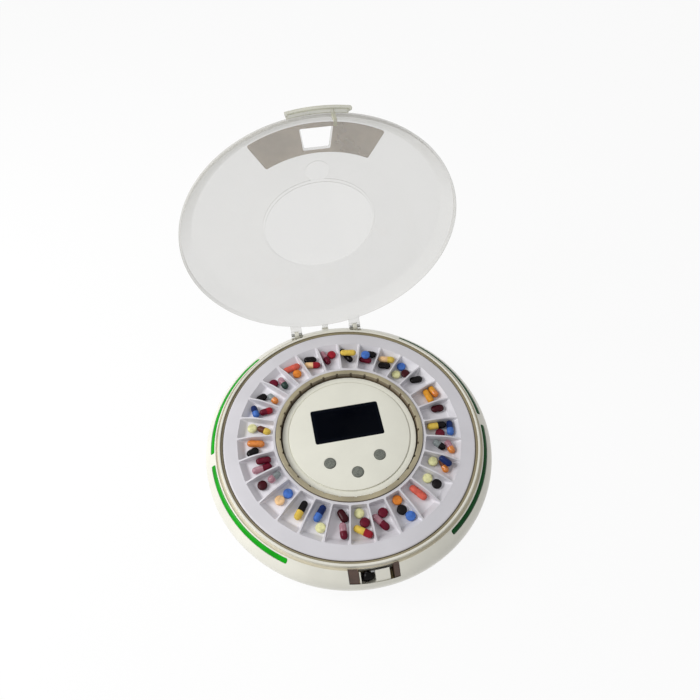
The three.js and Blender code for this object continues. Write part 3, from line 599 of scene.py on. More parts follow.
    def mirrored(self) -> Shape:
        """Adds the shape's mirror image on the other side of the YZ plane."""
        bmesh.ops.mirror(
            self.bm, geom=self.bm.verts[:] + self.bm.edges[:] + self.bm.faces[:],
            matrix=Matrix.Identity(4), merge_dist=-1, axis="X")
        bmesh.ops.recalc_face_normals(self.bm, faces=self.bm.faces[:])
        return self

    def mesh(self, name: str) -> bpy.types.Mesh:
        """Ends the making.

        Args:
            name: The mesh's name.

        Returns:
            The mesh, still in millimetres.
        """
        mesh = bpy.data.meshes.new(name)
        self.bm.to_mesh(mesh)
        self.bm.free()
        return mesh

    def carve(self, tool: Shape, how: Carve = Carve.CUT) -> Shape:
        """Cuts, joins or keeps with another solid.

        Args:
            tool: The other solid, which is used up.
            how: What it does.

        Returns:
            The same shape.
        """
        pair = [bpy.data.objects.new(name, shape.mesh(name))
                for name, shape in (("base", self), ("tool", tool))]
        for item in pair:
            bpy.context.scene.collection.objects.link(item)
        carver = pair[0].modifiers.new("carve", "BOOLEAN")
        carver.operation, carver.solver, carver.object = how.value, "EXACT", pair[1]
        bpy.context.view_layer.update()
        graph = bpy.context.evaluated_depsgraph_get()
        result = bpy.data.meshes.new_from_object(pair[0].evaluated_get(graph))
        self.bm = bmesh.new()
        self.bm.from_mesh(result)
        spent = [item.data for item in pair] + [result]
        for item in pair:
            bpy.data.objects.remove(item)
        for mesh in spent:
            bpy.data.meshes.remove(mesh)
        return self

    def piece(self, name: str, body: Body, looks: Sequence[Finish], *nodes: str,
              sharp: float = SHARP_ANGLE) -> None:
        """Finishes the solid as a piece of the model.

        Args:
            name: The piece's name.
            body: The body it rides on.
            looks: Its finishes, in the order of the painted indices.
            nodes: The nodes of the frame that it stands for.
            sharp: The angle in degrees above which an edge stays sharp.
        """
        bmesh.ops.transform(self.bm, matrix=Matrix.Scale(MM, 4), verts=self.bm.verts[:])
        mesh = self.mesh(name)
        mesh.shade_smooth()
        mesh.set_sharp_from_angle(angle=math.radians(sharp))
        for look in looks:
            mesh.materials.append(look.material())
        item = bpy.data.objects.new(name, mesh)
        bpy.context.scene.collection.objects.link(item)
        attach(item, body.value)
        if nodes:
            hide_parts(*nodes)
        log.info("%s: %d faces on %s", name, len(mesh.polygons), body.value)


def is_upright(edge: bmesh.types.BMEdge) -> bool:
    """Whether an edge runs straight up."""
    way = edge.verts[1].co - edge.verts[0].co
    return math.hypot(way.x, way.y) < TINY < abs(way.z)


def front_block(sides: tuple[float, float], rounding: float) -> Shape:
    """A block between two places along X, which keeps a stretch of a ring at the front."""
    return Shape.block((sides[0], -112, 20), (sides[1], -95, 50)).bevelled(is_upright, rounding)


class Looks:
    """Every finish of the pill box."""

    CREAM = Finish("cream_moulding", (232, 230, 218), 0.33, Slot.CREAM, coat=0.15)
    HUB = Finish("hub_moulding", (234, 233, 220), 0.36, Slot.CREAM, cloud=0.012)
    # Painted shade: a darker cream for the bottom of the rim groove, where shade falls.
    GROOVE_PAINTED_SHADE = Finish("groove_painted_shade", (214, 206, 184), 0.45, cloud=0.03)
    # Painted shade: a tan for the well's outer wall and the shelf below the lip, standing in for
    # the shade in the gap round the tray.
    WELL_PAINTED_SHADE = Finish("well_painted_shade", (150, 140, 112), 0.5, cloud=0.05)
    TRAY = Finish("pale_satin", (214, 212, 217), 0.38, Slot.TRAY, cloud=0.015, grain_depth=0.008)
    # Painted light: a paler colour for the pocket floors and walls, to lift the shade in the
    # pockets.
    POCKET_PAINTED_LIGHT = Finish("pocket_painted_light", (230, 228, 233), 0.42, cloud=0.015, grain_depth=0.008)
    SMOKY = Finish("smoky_collar", (112, 99, 80), 0.22, Slot.COLLAR, cloud=0.1, cloud_size=14,
                   coat=0.3)
    # Painted light: a lighter tan for the collar's top face, which the light falls on.
    COLLAR_TOP_PAINTED_LIGHT = Finish("collar_top_painted_light", (162, 152, 124), 0.25, cloud=0.09, cloud_size=18, coat=0.3)
    DISPLAY = Finish("display_pane", (5, 8, 17), 0.16, Slot.DISPLAY, cloud=0.1,
                     grain_depth=0.001, specular=0.03)
    SCREEN = Finish("screen_glass", (2, 4, 11), 0.1, cloud=0.1, grain_depth=0.0005,
                    specular=0.03)
    BUTTON = Mottled("button_rubber", (122, 125, 116), 0.62, Slot.BUTTON, grain_depth=0.02,
                     speck=(88, 92, 86))
    # Painted light and shade: one green in a brighter, glowing copy for the windows on the left,
    # where the light falls, and a darker copy for those on the right.
    LEFT_WINDOW_PAINTED_LIGHT = PaintedGlow("green_painted_light", (12, 150, 16), 0.3, Slot.LIGHT, glow=0.28, cloud=0.06,
                  specular=0.12)
    RIGHT_WINDOW_PAINTED_SHADE = PaintedGlow("green_painted_shade", (8, 72, 28), 0.3, Slot.LIGHT, glow=0.02, cloud=0.1,
                    specular=0.1)
    BROWN = Finish("brown_moulding", (78, 58, 48), 0.3, Slot.BROWN, cloud=0.1, cloud_size=5)
    # Painted light: a pale olive for the inside of the lock's hollow, so that its shade reads
    # brown instead of dark.
    CRADLE_PAINTED_LIGHT = Finish("cradle_painted_light", (196, 172, 122), 0.45, cloud=0.08, cloud_size=5)
    BLACK = Finish("black_gloss", (10, 8, 8), 0.12, Slot.BLACK, cloud=0.2, grain_depth=0.001,
                   specular=0.09)
    CLEAR = Clear("clear_moulding", (196, 194, 185), 0.08, Slot.CLEAR, cloud=0.01,
                  grain_depth=0.002, density=0.2, edge_density=0.75)
    CLEAR_DISC = Clear("clear_disc", (202, 200, 192), 0.08, cloud=0.01, grain_depth=0.002,
                       density=0.17, edge_density=0.7)
    MASK = Clear("smoky_mask", (180, 168, 150), 0.2, Slot.MASK, cloud=0.04, cloud_size=18,
                 density=0.5, edge_density=0.9)
    TAB = Clear("pale_tab", (198, 197, 174), 0.12, Slot.TAB, cloud=0.03, cloud_size=9,
                density=0.42, edge_density=0.9)
    RUBBER = Finish("foot_rubber", (42, 42, 42), 0.8, Slot.RUBBER, grain_depth=0.03)
    STEEL = Finish("zinc_plated", (176, 178, 180), 0.3, Slot.STEEL, metal=1.0, cloud=0.05,
                   cloud_size=6, stretch=(8, 1, 1))
    MATTE = Finish("black_moulding", (24, 24, 24), 0.5)
    GEAR = Finish("gear_moulding", (230, 230, 225), 0.5)
    BOARD = Finish("solder_mask", (31, 90, 52), 0.4, cloud=0.12, cloud_size=4)
    WRAP = Finish("cell_wrap", (74, 85, 96), 0.3, metal=0.4, stretch=(1, 0.1, 1))


@dataclass(frozen=True)
class Hinge:
    """Where the lid's two arms turn on their pins, which the casing and the lid share."""

    y: float = joint_place("lid_hinge")[1]
    z: float = joint_place("lid_hinge")[2]
    arm_x: float = 25.3
    arm_width: float = 9.3
    hole_radius: float = 1.4

    def rod(self, radius: float, half: float, rounding: float = 0.0, steps: int = 24) -> Shape:
        """A rod on the hinge's axis, at the middle of the right arm.

        Args:
            radius: Its radius.
            half: Half its length.
            rounding: The radius of its two edges.
            steps: How many steps go round.

        Returns:
            The rod.
        """
        rod = Shape.rod(radius, -half, half, rounding, steps)
        return rod.moved(shift(self.arm_x, self.y, self.z) @ turn(QUARTER_TURN, "Y"))


@dataclass
class Casing:
    """The base, the housing, the light windows and all that is screwed to them."""

    hinge: Hinge
    radius: float = 110.0
    split: float = 20.0
    floor_bottom: float = 1.2
    floor_top: float = 4.4
    groove: float = 100.95
    groove_bottom: float = 41.0
    shoulder_top: float = 42.3
    lip_top: float = 45.0
    lip_outer: float = 98.85
    well: float = 97.2
    well_floor: float = 24.0
    # The shelf is a ring below the lip that carries painted shade in the gap round the tray.
    shelf: float = 95.65
    shelf_heights: tuple[float, float] = (42.1, 43.3)
    wall: float = 2.0
    hub_wall: tuple[float, float] = (48.5, 50.4)
    hub_wall_top: float = 42.6
    slope: float = 40.0
    band_start: float = 1.5
    band_width: float = 3.4
    band_thickness: float = 2.4
    band_cut: tuple[float, float] = (4.0, 2.0)
    band_gap: float = 0.3
    band_corner: float = 0.8
    band_crown: float = 0.8
    # Compass spans of the windows that take the painted-light and the painted-shade copies of the
    # green.
    painted_light_spans: tuple[tuple[float, float], ...] = ((272.6, 324.4), (215.3, 267.0))
    painted_shade_spans: tuple[tuple[float, float], ...] = ((35.6, 90.0), (95.6, 147.3))
    foot_distance: float = 86.0
    foot_radius: float = 7.0
    foot_height: float = 1.7
    foot_gap: float = 0.3
    screw_distance: float = 88.0
    screw_start: float = 30.0
    screw_bore: float = 1.5
    screw_head_bore: float = 3.3
    base_boss: float = 5.2
    base_boss_top: float = 12.0
    housing_boss: float = 4.0
    bay: tuple[float, float, float] = (30.1, 14.85, 69.15)
    bay_wall: float = 1.6
    bay_wall_top: float = 14.0
    door: tuple[float, float, float] = (33.1, 11.85, 72.15)
    door_gap: float = 0.3
    door_travel: float = 8.0
    door_corner: float = 1.4
    rebate_corner: float = 1.6
    door_heights: tuple[float, float] = (1.2, 2.7)
    grip: tuple[float, float] = (11.0, 0.5)
    grip_places: tuple[float, ...] = (19.9, 21.9, 23.9)
    pocket_sides: tuple[float, float] = (-20.8, 14.2)
    pocket_ring: tuple[float, float] = (99.7, 108.2)
    pocket_bottom: float = 26.7
    pinion_wall: tuple[float, float] = (49.45, -135.0)
    pinion_window_size: tuple[float, float] = (2.2, 9.6)
    arm_gap: float = 0.3
    arm_slot_bottom: float = 35.1
    arm_slot_end: float = 110.9
    hinge_block_angle: float = 13.9
    hinge_block_half: float = 3.8
    hinge_block_bottom: float = 33.1
    lug_reach: float = 2.9
    lug_half: float = 1.8
    stop_ledge: tuple[Corner, Corner] = ((-2.8, 107, 33), (2.8, 110.2, 36.6))

    def on_slope(self, along: float, outwards: float) -> Corner:
        """A point along the shoulder's slope and square to it, as radius and height."""
        cosine, sine = polar(1, self.slope)
        return (self.groove + along * cosine + outwards * sine,
                self.shoulder_top - along * sine + outwards * cosine)

    def base(self) -> None:
        """The lower shell, with its feet and screw holes and the battery bay."""
        bottom, top = self.floor_bottom, self.floor_top
        pan = Shape.turned([
            (0, bottom), (100, bottom, 1.6), (103.5, 6, 5), (108, self.split, 0.5),
            (105.6, self.split), (101.1, 8.4, 2), (97.6, top, 1.5), (0, top)])
        x, near, far = self.bay
        wall, sunk = self.bay_wall, top - OVERLAP
        walls = Shape.block((-x - wall, near - wall, sunk),
                            (x + wall, far + wall, self.bay_wall_top))
        walls.beside(self.at_screws(self.base_boss, sunk, self.base_boss_top))
        pan.carve(walls, Carve.JOIN)
        holes = self.at_screws(self.screw_head_bore, 0, 9)
        seat = Shape.rod(self.foot_radius + self.foot_gap, 0, 2)
        holes.beside(self.at_screws(self.screw_bore, 8, 14),
                     seat.moved(self.foot_place(0)).around(4))
        pan.carve(holes)
        pan.carve(Shape.block((-x, near, 0), (x, far, self.bay_wall_top + self.wall)))
        x, near, far = self.door
        gap = self.door_gap
        pan.carve(Shape.slab((-x - gap, near - gap), (x + gap, far + gap + self.door_travel),
                             self.rebate_corner, 0, self.door_heights[1] + gap / 2))
        pan.piece("base_pan", Body.CASING, [Looks.CREAM], "base_shell")

    def screw_place(self, index: int) -> Matrix:
        """Where a housing screw stands."""
        return shift(*polar(self.screw_distance, self.screw_start + index * QUARTER_TURN))

    def at_screws(self, radius: float, bottom: float, top: float) -> Shape:
        """An upright rod at each of the four screws."""
        return Shape.rod(radius, bottom, top).moved(self.screw_place(0)).around(4)

    def foot_place(self, index: int) -> Matrix:
        """Where a foot stands."""
        return shift(*polar(self.foot_distance, (index + 0.5) * QUARTER_TURN))

    def band(self, span: tuple[float, float], margin: float, inner: float, outer: float,
             crown: float = 0.0) -> Shape:
        """A stretch of the shoulder's band, between two compass angles.

        Args:
            span: The two compass angles.
            margin: How far it is larger than a light window.
            inner: How far it goes below the slope.
            outer: How far it stands above it.
            crown: How much higher its middle line stands.

        Returns:
            The solid.
        """
        start, end = self.band_start - margin, self.band_start + self.band_width + margin
        more = math.degrees(margin / self.radius)
        low, high = QUARTER_TURN - span[1] - more, QUARTER_TURN - span[0] + more
        steps = max(2, round((high - low) / FULL_TURN * FINE_STEPS))
        top = [self.on_slope(end, outer), self.on_slope(start, outer)]
        if crown > 0:
            top.insert(1, (*self.on_slope((start + end) / 2, outer + crown), crown * 2))
        shape = Shape.turned([
            self.on_slope(start, -inner), self.on_slope(end, -inner), *top],
            steps, low, high - low)

        def at_end(edge: bmesh.types.BMEdge) -> bool:
            """Whether an edge stands square to the slope at one end of the band."""
            ends = [math.degrees(math.atan2(v.co.y, v.co.x)) for v in edge.verts]
            close = all(min(abs((a - side + HALF_TURN) % FULL_TURN - HALF_TURN)
                            for side in (low, high)) < 0.01 for a in ends)
            radii = [math.hypot(v.co.x, v.co.y) for v in edge.verts]
            rise = edge.verts[1].co.z - edge.verts[0].co.z
            return close and (radii[1] - radii[0]) * rise > TINY

        return shape.bevelled(at_end, self.band_corner + margin)

    def housing(self) -> None:
        """The cream shoulder with its groove, lip and well, and what is cut into it."""
        groove, lip, floor, under = (
            self.groove_bottom, self.lip_top, self.well_floor, self.well_floor - self.wall)
        shelf_bottom, shelf_top = self.shelf_heights
        hub_inner, hub_outer = self.hub_wall
        body = Shape.turned([
            (108, 20.3, 0.3), (self.radius, 26, 4), (self.radius, 31, 1.5), (108.8, 35.97, 5.5),
            (self.groove, self.shoulder_top, 0.5), (self.groove, groove, 0.3),
            (self.lip_outer, groove, 0.3), (self.lip_outer, lip, 0.45), (self.well, lip, 0.45),
            (self.well, shelf_top), (self.shelf, shelf_top), (self.shelf, shelf_bottom),
            (self.well, shelf_bottom), (self.well, floor, 1), (hub_outer, floor, 0.5),
            (hub_outer, self.hub_wall_top, 0.3), (hub_inner, self.hub_wall_top, 0.3),
            (hub_inner, under), (99, under), (99, 39.2), (101.53, 39.2), (104.1, 37.04),
            (108, 31), (108, 26), (106, 20.3)])
        bosses = self.at_screws(self.housing_boss, 12.3, floor - OVERLAP)
        body.carve(bosses.beside(*self.hinge_blocks()), Carve.JOIN)
        cuts = self.at_screws(self.screw_bore, 10, under + OVERLAP)
        spans = self.painted_light_spans + self.painted_shade_spans
        cuts.beside(*(self.band(span, self.band_gap, *self.band_cut) for span in spans))
        cuts.beside(self.pocket(), self.pinion_window(), self.hinge_slots())
        body.carve(cuts)
        body.carve(self.lugs(), Carve.JOIN)
        body.carve(self.hinge.rod(self.hinge.hole_radius, 4).mirrored())
        # Painted shade: a tan on the well's wall and shelf, and a darker cream at the bottom of
        # the groove.
        body.painted(1, self.in_painted_well_shade).painted(2, self.in_painted_groove_shade)
        body.piece("shoulder_housing", Body.CASING, [Looks.CREAM, Looks.WELL_PAINTED_SHADE, Looks.GROOVE_PAINTED_SHADE],
                   "top_housing")

    def in_painted_groove_shade(self, place: Vector) -> bool:
        """Whether a face lies at the bottom of the rim groove, where painted shade goes."""
        in_ring = self.lip_outer + 0.05 < math.hypot(place.x, place.y) < self.groove - 0.05
        return in_ring and self.groove_bottom - 0.5 < place.z < self.groove_bottom + 1

    def in_painted_well_shade(self, place: Vector) -> bool:
        """Whether a face is on the well's outer wall or on the shelf below its lip, which take
        painted shade.
        """
        in_ring = self.shelf - 0.05 < math.hypot(place.x, place.y) < self.well + 0.2
        return in_ring and self.well_floor + 1 < place.z < self.lip_top - 0.7

    def pocket(self) -> Shape:
        """The hole in the shoulder that the lock sits in."""
        inner, outer = self.pocket_ring
        bottom, top = self.pocket_bottom, self.lip_top + 2
        ring = Shape.turned([(inner, bottom), (outer, bottom), (outer, top), (inner, top)],
                            *FRONT_SWEEP)
        return ring.carve(front_block(self.pocket_sides, 1.2), Carve.KEEP)

    def pinion_window(self) -> Shape:
        """The gap in the hub's wall that the pinion reaches through."""
        (radius, angle), (x, y) = self.pinion_wall, self.pinion_window_size
        window = Shape.block((-x, -y, 20), (x, y, 29.8))
        return window.moved(shift(*polar(radius, angle)) @ turn(angle))

    def hinge_slots(self) -> Shape:
        """The two slots that the lid's arms swing in."""
        middle, half = self.hinge.arm_x, self.hinge.arm_width / 2 + self.arm_gap
        return Shape.block((middle - half, self.well, self.arm_slot_bottom),
                           (middle + half, self.arm_slot_end, self.lip_top + 2)).mirrored()

    def hinge_blocks(self) -> list[Shape]:
        """Solid plastic under each hinge arm."""
        inner, bottom, half = self.groove - 0.05, self.hinge_block_bottom, self.hinge_block_half
        outline = [(inner, bottom), (109.1, bottom), (108.5, 34.6), (107.4, 36.3), (105.3, 38.5),
                   (inner, 42.15)]
        return [Shape.turned(outline, 12, QUARTER_TURN - side * self.hinge_block_angle - half,
                             2 * half) for side in (-1, 1)]

    def lugs(self) -> Shape:
        """The lugs that hold the hinge pins, and the ledge that stops the open lid."""
        y, z, reach = self.hinge.y, self.hinge.z, self.lug_reach
        bottom, x, half = self.hinge_block_bottom, self.hinge.arm_x, self.lug_half
        web = Shape.drawn([
            (y - reach, bottom), (y, bottom), (y + reach, z - reach), (y + reach, z),
            (y - reach, z)], Facing.SIDE, x - half, x + half)
        pair = web.carve(self.hinge.rod(reach, half, 0.2), Carve.JOIN).mirrored()
        return pair.beside(Shape.block(*self.stop_ledge, 0.4))

    def windows(self) -> None:
        """The four green light windows."""
        # The left windows take the painted-light green and the right ones the painted-shade green.
        for index, span in enumerate(self.painted_shade_spans + self.painted_light_spans, 1):
            pane = self.band(span, 0, self.band_thickness, 0, self.band_crown)
            pane.piece(f"light_bar_{index}", Body.CASING,
                       [Looks.LEFT_WINDOW_PAINTED_LIGHT if span in self.painted_light_spans else Looks.RIGHT_WINDOW_PAINTED_SHADE],
                       f"light_window_{index}")

    def feet(self) -> None:
        """Four rubber feet, each with a shallow dish."""
        radius, top = self.foot_radius, self.foot_height
        for index in range(4):
            foot = Shape.turned([
                (0, 0.35), (3.4, 0.35, 0.3), (4.2, 0, 0.3), (radius, 0, 0.5),
                (radius, top, 0.15), (0, top)], SMALL_STEPS)
            foot.moved(self.foot_place(index)).piece(
                f"rubber_foot_{index + 1}", Body.CASING, [Looks.RUBBER], f"foot_{index + 1}")

    def screws(self) -> None:
        """Four housing screws with a cross recess."""
        for index in range(4):
            screw = Shape.turned([
                (0, 6.5), (1.6, 6.5, 0.3), (3, 7.3, 0.5), (3, 8.7, 0.1), (1.2, 8.7), (1.2, 17.6),
                (0.5, 19.2), (0, 19.7)], 32)
            long, short = 1.6, 0.35
            cross = Shape.block((-long, -short, 5), (long, short, 7.7))
            cross.carve(Shape.block((-short, -long, 5), (short, long, 7.7)), Carve.JOIN)
            screw.carve(cross).moved(self.screw_place(index)).piece(
                f"cross_screw_{index + 1}", Body.CASING, [Looks.STEEL],
                f"housing_screw_{index + 1}")

    def battery_door(self) -> None:
        """The battery door, with three finger grooves."""
        (x, near, far), (low, high) = self.door, self.door_heights
        plate = Shape.slab((-x, near), (x, far), self.door_corner, low, high)
        plate.bevelled(lambda edge: abs(edge.verts[0].co.z - edge.verts[1].co.z) < TINY
                       and edge.calc_face_angle(0) > 1, 0.2, 2)
        grooves = Shape()
        x, half = self.grip
        for y in self.grip_places:
            grooves.beside(Shape.slab((-x, y - half), (x, y + half), 0.45, half, low + half))
        plate.carve(grooves).piece("sliding_door", Body.DOOR, [Looks.CREAM], "battery_door")

    def hinge_rods(self) -> None:
        """The two steel pins that the lid turns on."""
        x = self.hinge.arm_x
        for name, offset in (("left", -2 * x), ("right", 0)):
            rod = self.hinge.rod(1.2, self.hinge.arm_width / 2, 0.25).moved(shift(offset, 0))
            rod.piece(f"{name}_hinge_rod", Body.CASING, [Looks.STEEL], f"hinge_pin_{name}")

    def build(self) -> None:
        """Makes all the casing's pieces."""
        self.base()
        self.housing()
        self.windows()
        self.feet()
        self.screws()
        self.battery_door()
        self.hinge_rods()


@dataclass
class Hub:
    """The cover in the middle, with the display and the three buttons."""

    radius: float = 50.7
    step_radius: float = 45.8
    step_width: float = 0.6
    bottom: float = 42.9
    groove_bottom: float = 43.65
    edge_top: float = 44.2
    top: float = 45.0
    post_radius: float = 3.0
    post_distance: float = 40.0
    post_start: float = 75.0
    post_bottom: float = 35.3
    window: tuple[float, float] = (52.7, 28.7)
    window_y: float = 9.5
    window_corner: float = 1.5
    window_gap: float = 0.15
    window_heights: tuple[float, float] = (43.7, 44.9)
    screen_margin: float = 2.6
    screen_depth: float = 0.05
    opening_margin: float = 3.0
    button_radius: float = 4.2
    button_gap: float = 0.3
    buttons: tuple[tuple[Body, str], ...] = (
        (Body.LEFT_BUTTON, "left"), (Body.MIDDLE_BUTTON, "middle"), (Body.RIGHT_BUTTON, "right"))

    def pane(self, margin: float, bottom: float, top: float, corner: float) -> Shape:
        """A rounded rectangle at the display's place.

        Args:
            margin: How far it is larger than the window.
            bottom: Its lower face.
            top: Its upper face.
            corner: The radius of its corners.

        Returns:
            The solid.
        """
        x, y = (size / 2 + margin for size in self.window)
        return Shape.slab((-x, self.window_y - y), (x, self.window_y + y), corner, bottom, top)

    def cover(self) -> None:
        """The cream cover, with a step near its edge."""
        step, low, high = self.step_radius, self.bottom, self.top + 2
        plate = Shape.turned([
            (0, low), (self.radius, low, 0.2), (self.radius, self.edge_top, 0.45),
            (step + self.step_width, self.edge_top, 0.15),
            (step + self.step_width, self.groove_bottom), (step, self.groove_bottom),
            (step, self.top, 0.4), (0, self.top)])
        posts = Shape()
        for index in range(4):
            post = Shape.rod(self.post_radius, self.post_bottom, low + OVERLAP)
            posts.beside(post.moved(
                shift(*polar(self.post_distance, self.post_start + QUARTER_TURN * index))))
        plate.carve(posts, Carve.JOIN)
        gap = self.window_gap
        plate.carve(self.pane(gap, self.window_heights[0] - 2 * gap, high,
                              self.window_corner + gap))
        holes = self.pane(-self.opening_margin, 41, 44, 1)
        for _, name in self.buttons:
            hole = Shape.rod(self.button_radius + self.button_gap, 41, high)
            holes.beside(hole.moved(shift(*centre_of(f"button_{name}"))))
        plate.carve(holes)
        plate.piece("hub_top", Body.CASING, [Looks.HUB], "hub_cover")

    def display(self) -> None:
        """The dark window over the display, with its slightly sunk screen."""
        low, high = self.window_heights
        sunk = high - self.screen_depth
        pane = self.pane(0, low, high, self.window_corner)
        pane.bevelled(lambda edge: all(abs(v.co.z - high) < TINY for v in edge.verts)
                      and edge.calc_face_angle(0) > 1, 0.2, 2)
        pane.carve(self.pane(-self.screen_margin, sunk, high + 1, 0.8))
        pane.painted(1, lambda middle: abs(middle.z - sunk) < 0.01)
        pane.piece("display_pane", Body.CASING, [Looks.DISPLAY, Looks.SCREEN], "display_window")

    def keys(self) -> None:
        """Three domed buttons on their flanges."""
        radius, stem, flange = self.button_radius, 1.6, 5.2
        for body, name in self.buttons:
            button = Shape.turned([
                (0, 37.6), (stem, 37.6, 0.2), (stem, 41.5), (flange, 41.5, 0.2),
                (flange, 42.6, 0.2), (radius, 42.6), (radius, 45.45, 0.3), (3.4, 45.72, 0.6),
                (1.8, 45.79, 0.5), (0, 45.8)], 48)
            button.moved(shift(*centre_of(f"button_{name}"))).piece(
                f"{name}_key", body, [Looks.BUTTON], f"button_{name}")

    def build(self) -> None:
        """Makes all the hub's pieces."""
        self.cover()
        self.display()
        self.keys()


@dataclass
class Tray:
    """The ring of compartments and the smoky collar that turns with it."""

    compartments: int = 29
    first_divider: float = 4.6
    bore: float = 55.7
    inner_wall: float = 57.3
    pocket_inner: float = 57.6
    pocket_floor_end: float = 79.0
    pocket_edge: float = 84.0
    pocket_top: float = 50.0
    pocket_rounding: float = 1.1
    wall: float = 1.6
    rim: float = 95.3
    bottom: float = 24.3
    floor: float = 40.0
    ledge: float = 44.2
    inner_top: float = 47.6
    divider: float = 1.1
    collar_inner: float = 51.7
    collar_outer: float = 55.4
    collar_top: float = 48.6
    notch: tuple[float, float] = (0.9, 43.0)
    gear_top: float = 29.3
    seam: float = 29.0
    teeth: int = 58
    tooth_gaps: tuple[tuple[float, float], ...] = ((51.4, 0.55), (52.7, 1.05), (54.0, 1.5))

    @property
    def pitch(self) -> float:
        """The angle of one compartment."""
        return FULL_TURN / self.compartments

    def middle_angle(self, number: int) -> float:
        """The compass angle of a compartment's middle."""
        return self.first_divider + self.pitch * (number - 0.5)

    def half_width(self, radius: float) -> float:
        """Half a compartment's width at a radius."""
        half = math.radians(self.pitch / 2)
        return radius * math.tan(half) - self.divider / 2 / math.cos(half)

    def pocket(self) -> Shape:
        """The hollow of one compartment, as a solid along +Y."""
        shape = Shape()
        over, floor = self.pocket_top, self.floor
        slope = (self.pocket_edge - self.pocket_floor_end) / (self.ledge - floor)
        ends = {True: self.pocket_floor_end, False: self.pocket_floor_end + slope * (over - floor)}
        bmesh.ops.create_cube(shape.bm, size=2)
        for vert in shape.bm.verts:
            low = vert.co.z < 0
            radius = self.pocket_inner if vert.co.y < 0 else ends[low]
            vert.co = (math.copysign(self.half_width(radius), vert.co.x), radius,
                       floor if low else over)
        return shape.bevelled(lambda edge: any(v.co.z < over - 1 for v in edge.verts),
                              self.pocket_rounding, 4)

    def ring(self) -> None:
        """The tray with its pockets."""
        bottom, wall, edge = self.bottom, self.wall, self.pocket_edge
        ledge, under_floor, under_ledge = self.ledge, self.floor - wall, self.ledge - wall
        bowl = Shape.turned([
            (self.bore, bottom), (self.inner_wall, bottom), (self.inner_wall, under_floor),
            (self.pocket_floor_end, under_floor), (edge, under_ledge),
            (self.rim - wall, under_ledge), (self.rim - wall, bottom), (self.rim, bottom, 0.2),
            (self.rim, ledge - 0.6, 0.7), (self.rim - 1, ledge, 0.5), (edge, ledge + 0.25, 2),
            (74, self.inner_top, 3), (self.bore, self.inner_top, 0.4)], self.compartments * 8)
        bowl.carve(self.pocket().moved(turn(-self.middle_angle(1))).around(self.compartments))
        # Painted light: the pocket floors and lower walls take a paler colour that lifts their
        # shade.
        # The outer wall takes the smoky colour, partly its own and partly painted shade for the
        # gap between tray and lip.
        bowl.painted(1, self.in_skirt).painted(2, self.in_pocket_painted_light)
        bowl.piece("pill_ring", Body.TRAY, [Looks.TRAY, Looks.SMOKY, Looks.POCKET_PAINTED_LIGHT], "pill_tray")

    def in_skirt(self, place: Vector) -> bool:
        """Whether a face is on the tray's outer wall, whose smoky colour is partly the moulding's
        own and partly painted shade in the gap round the tray.
        """
        return math.hypot(place.x, place.y) > self.rim - 0.3 and place.z < self.ledge - 0.8

    def in_pocket_painted_light(self, place: Vector) -> bool:
        """Whether a face is on a pocket's floor or near the bottom of its walls, which take
        painted light.
        """
        in_ring = self.pocket_inner - 0.1 < math.hypot(place.x, place.y) < self.pocket_edge - 1
        return in_ring and self.floor - 0.1 < place.z < self.ledge - 0.4

    def tooth(self) -> Shape:
        """The gap between two teeth of the ring gear, as a solid along +X."""
        half = FULL_TURN / self.teeth / 2
        corners = [polar(radius, half - math.degrees(width / radius))
                   for radius, width in self.tooth_gaps]
        low = [(x, -y) for x, y in corners]
        return Shape.drawn([*low, *reversed(corners)], Facing.TOP, self.bottom - 1,
                           self.gear_top + OVERLAP)

    def collar(self) -> None:
        """The smoky collar with its index notches and the ring gear below; its top face takes
        painted light.
        """
        top, inner, outer = self.collar_top, self.collar_inner, self.collar_outer
        sleeve = Shape.turned([
            (inner, self.bottom), (outer, self.bottom, 0.2), (outer, top, 0.5),
            (inner, top, 0.5), (inner, self.seam, 0.2), (inner, self.seam)],
            self.compartments * 8)
        half, low = self.notch
        notch = Shape.block((-half, inner - 2.7, low), (half, inner + half, top + 2.4)).bevelled(
            lambda edge: any(v.co.z < low + 1 for v in edge.verts), 0.3, 2)
        sleeve.carve(notch.around(self.compartments))
        sleeve.carve(self.tooth().around(self.teeth))
        # Painted light: the collar's top face takes the lighter tan.
        sleeve.painted(1, lambda middle: middle.z > top - 0.4)
        sleeve.piece("smoky_sleeve", Body.TRAY, [Looks.SMOKY, Looks.COLLAR_TOP_PAINTED_LIGHT], "tray_collar")

    def build(self) -> None:
        """Makes the tray and its collar."""
        self.ring()
        self.collar()


class Tone(Enum):
    """The colours of the pills, and how see-through each is."""

    MAROON = ((98, 16, 38), 1.0)
    DARK_RED = ((58, 8, 18), 1.0)
    RED = ((150, 28, 42), 1.0)
    BLUE = ((70, 112, 190), 1.0)
    NAVY = ((20, 40, 92), 1.0)
    BLACK = ((12, 7, 10), 1.0)
    YELLOW = ((222, 190, 84), 1.0)
    AMBER = ((220, 152, 48), 1.0)
    ORANGE = ((222, 132, 52), 0.9)
    CREAM = ((222, 220, 166), 1.0)
    PEACH = ((234, 194, 144), 1.0)
    SALMON = ((212, 98, 82), 1.0)
    BROWN = ((96, 52, 34), 1.0)
    DARK_GREEN = ((42, 62, 56), 1.0)
    GREY_CLEAR = ((140, 150, 150), 0.6)
    CLEAR_ROSE = ((188, 130, 144), 0.6)


class Form(Enum):
    """The shapes of the pills: half a thickness, and half a width."""

    CAPSULE = (2.65, 2.65)
    TABLET = (1.75, 3.6)
    OVAL = (2.1, 3.0)
    CAPLET = (2.2, 2.7)


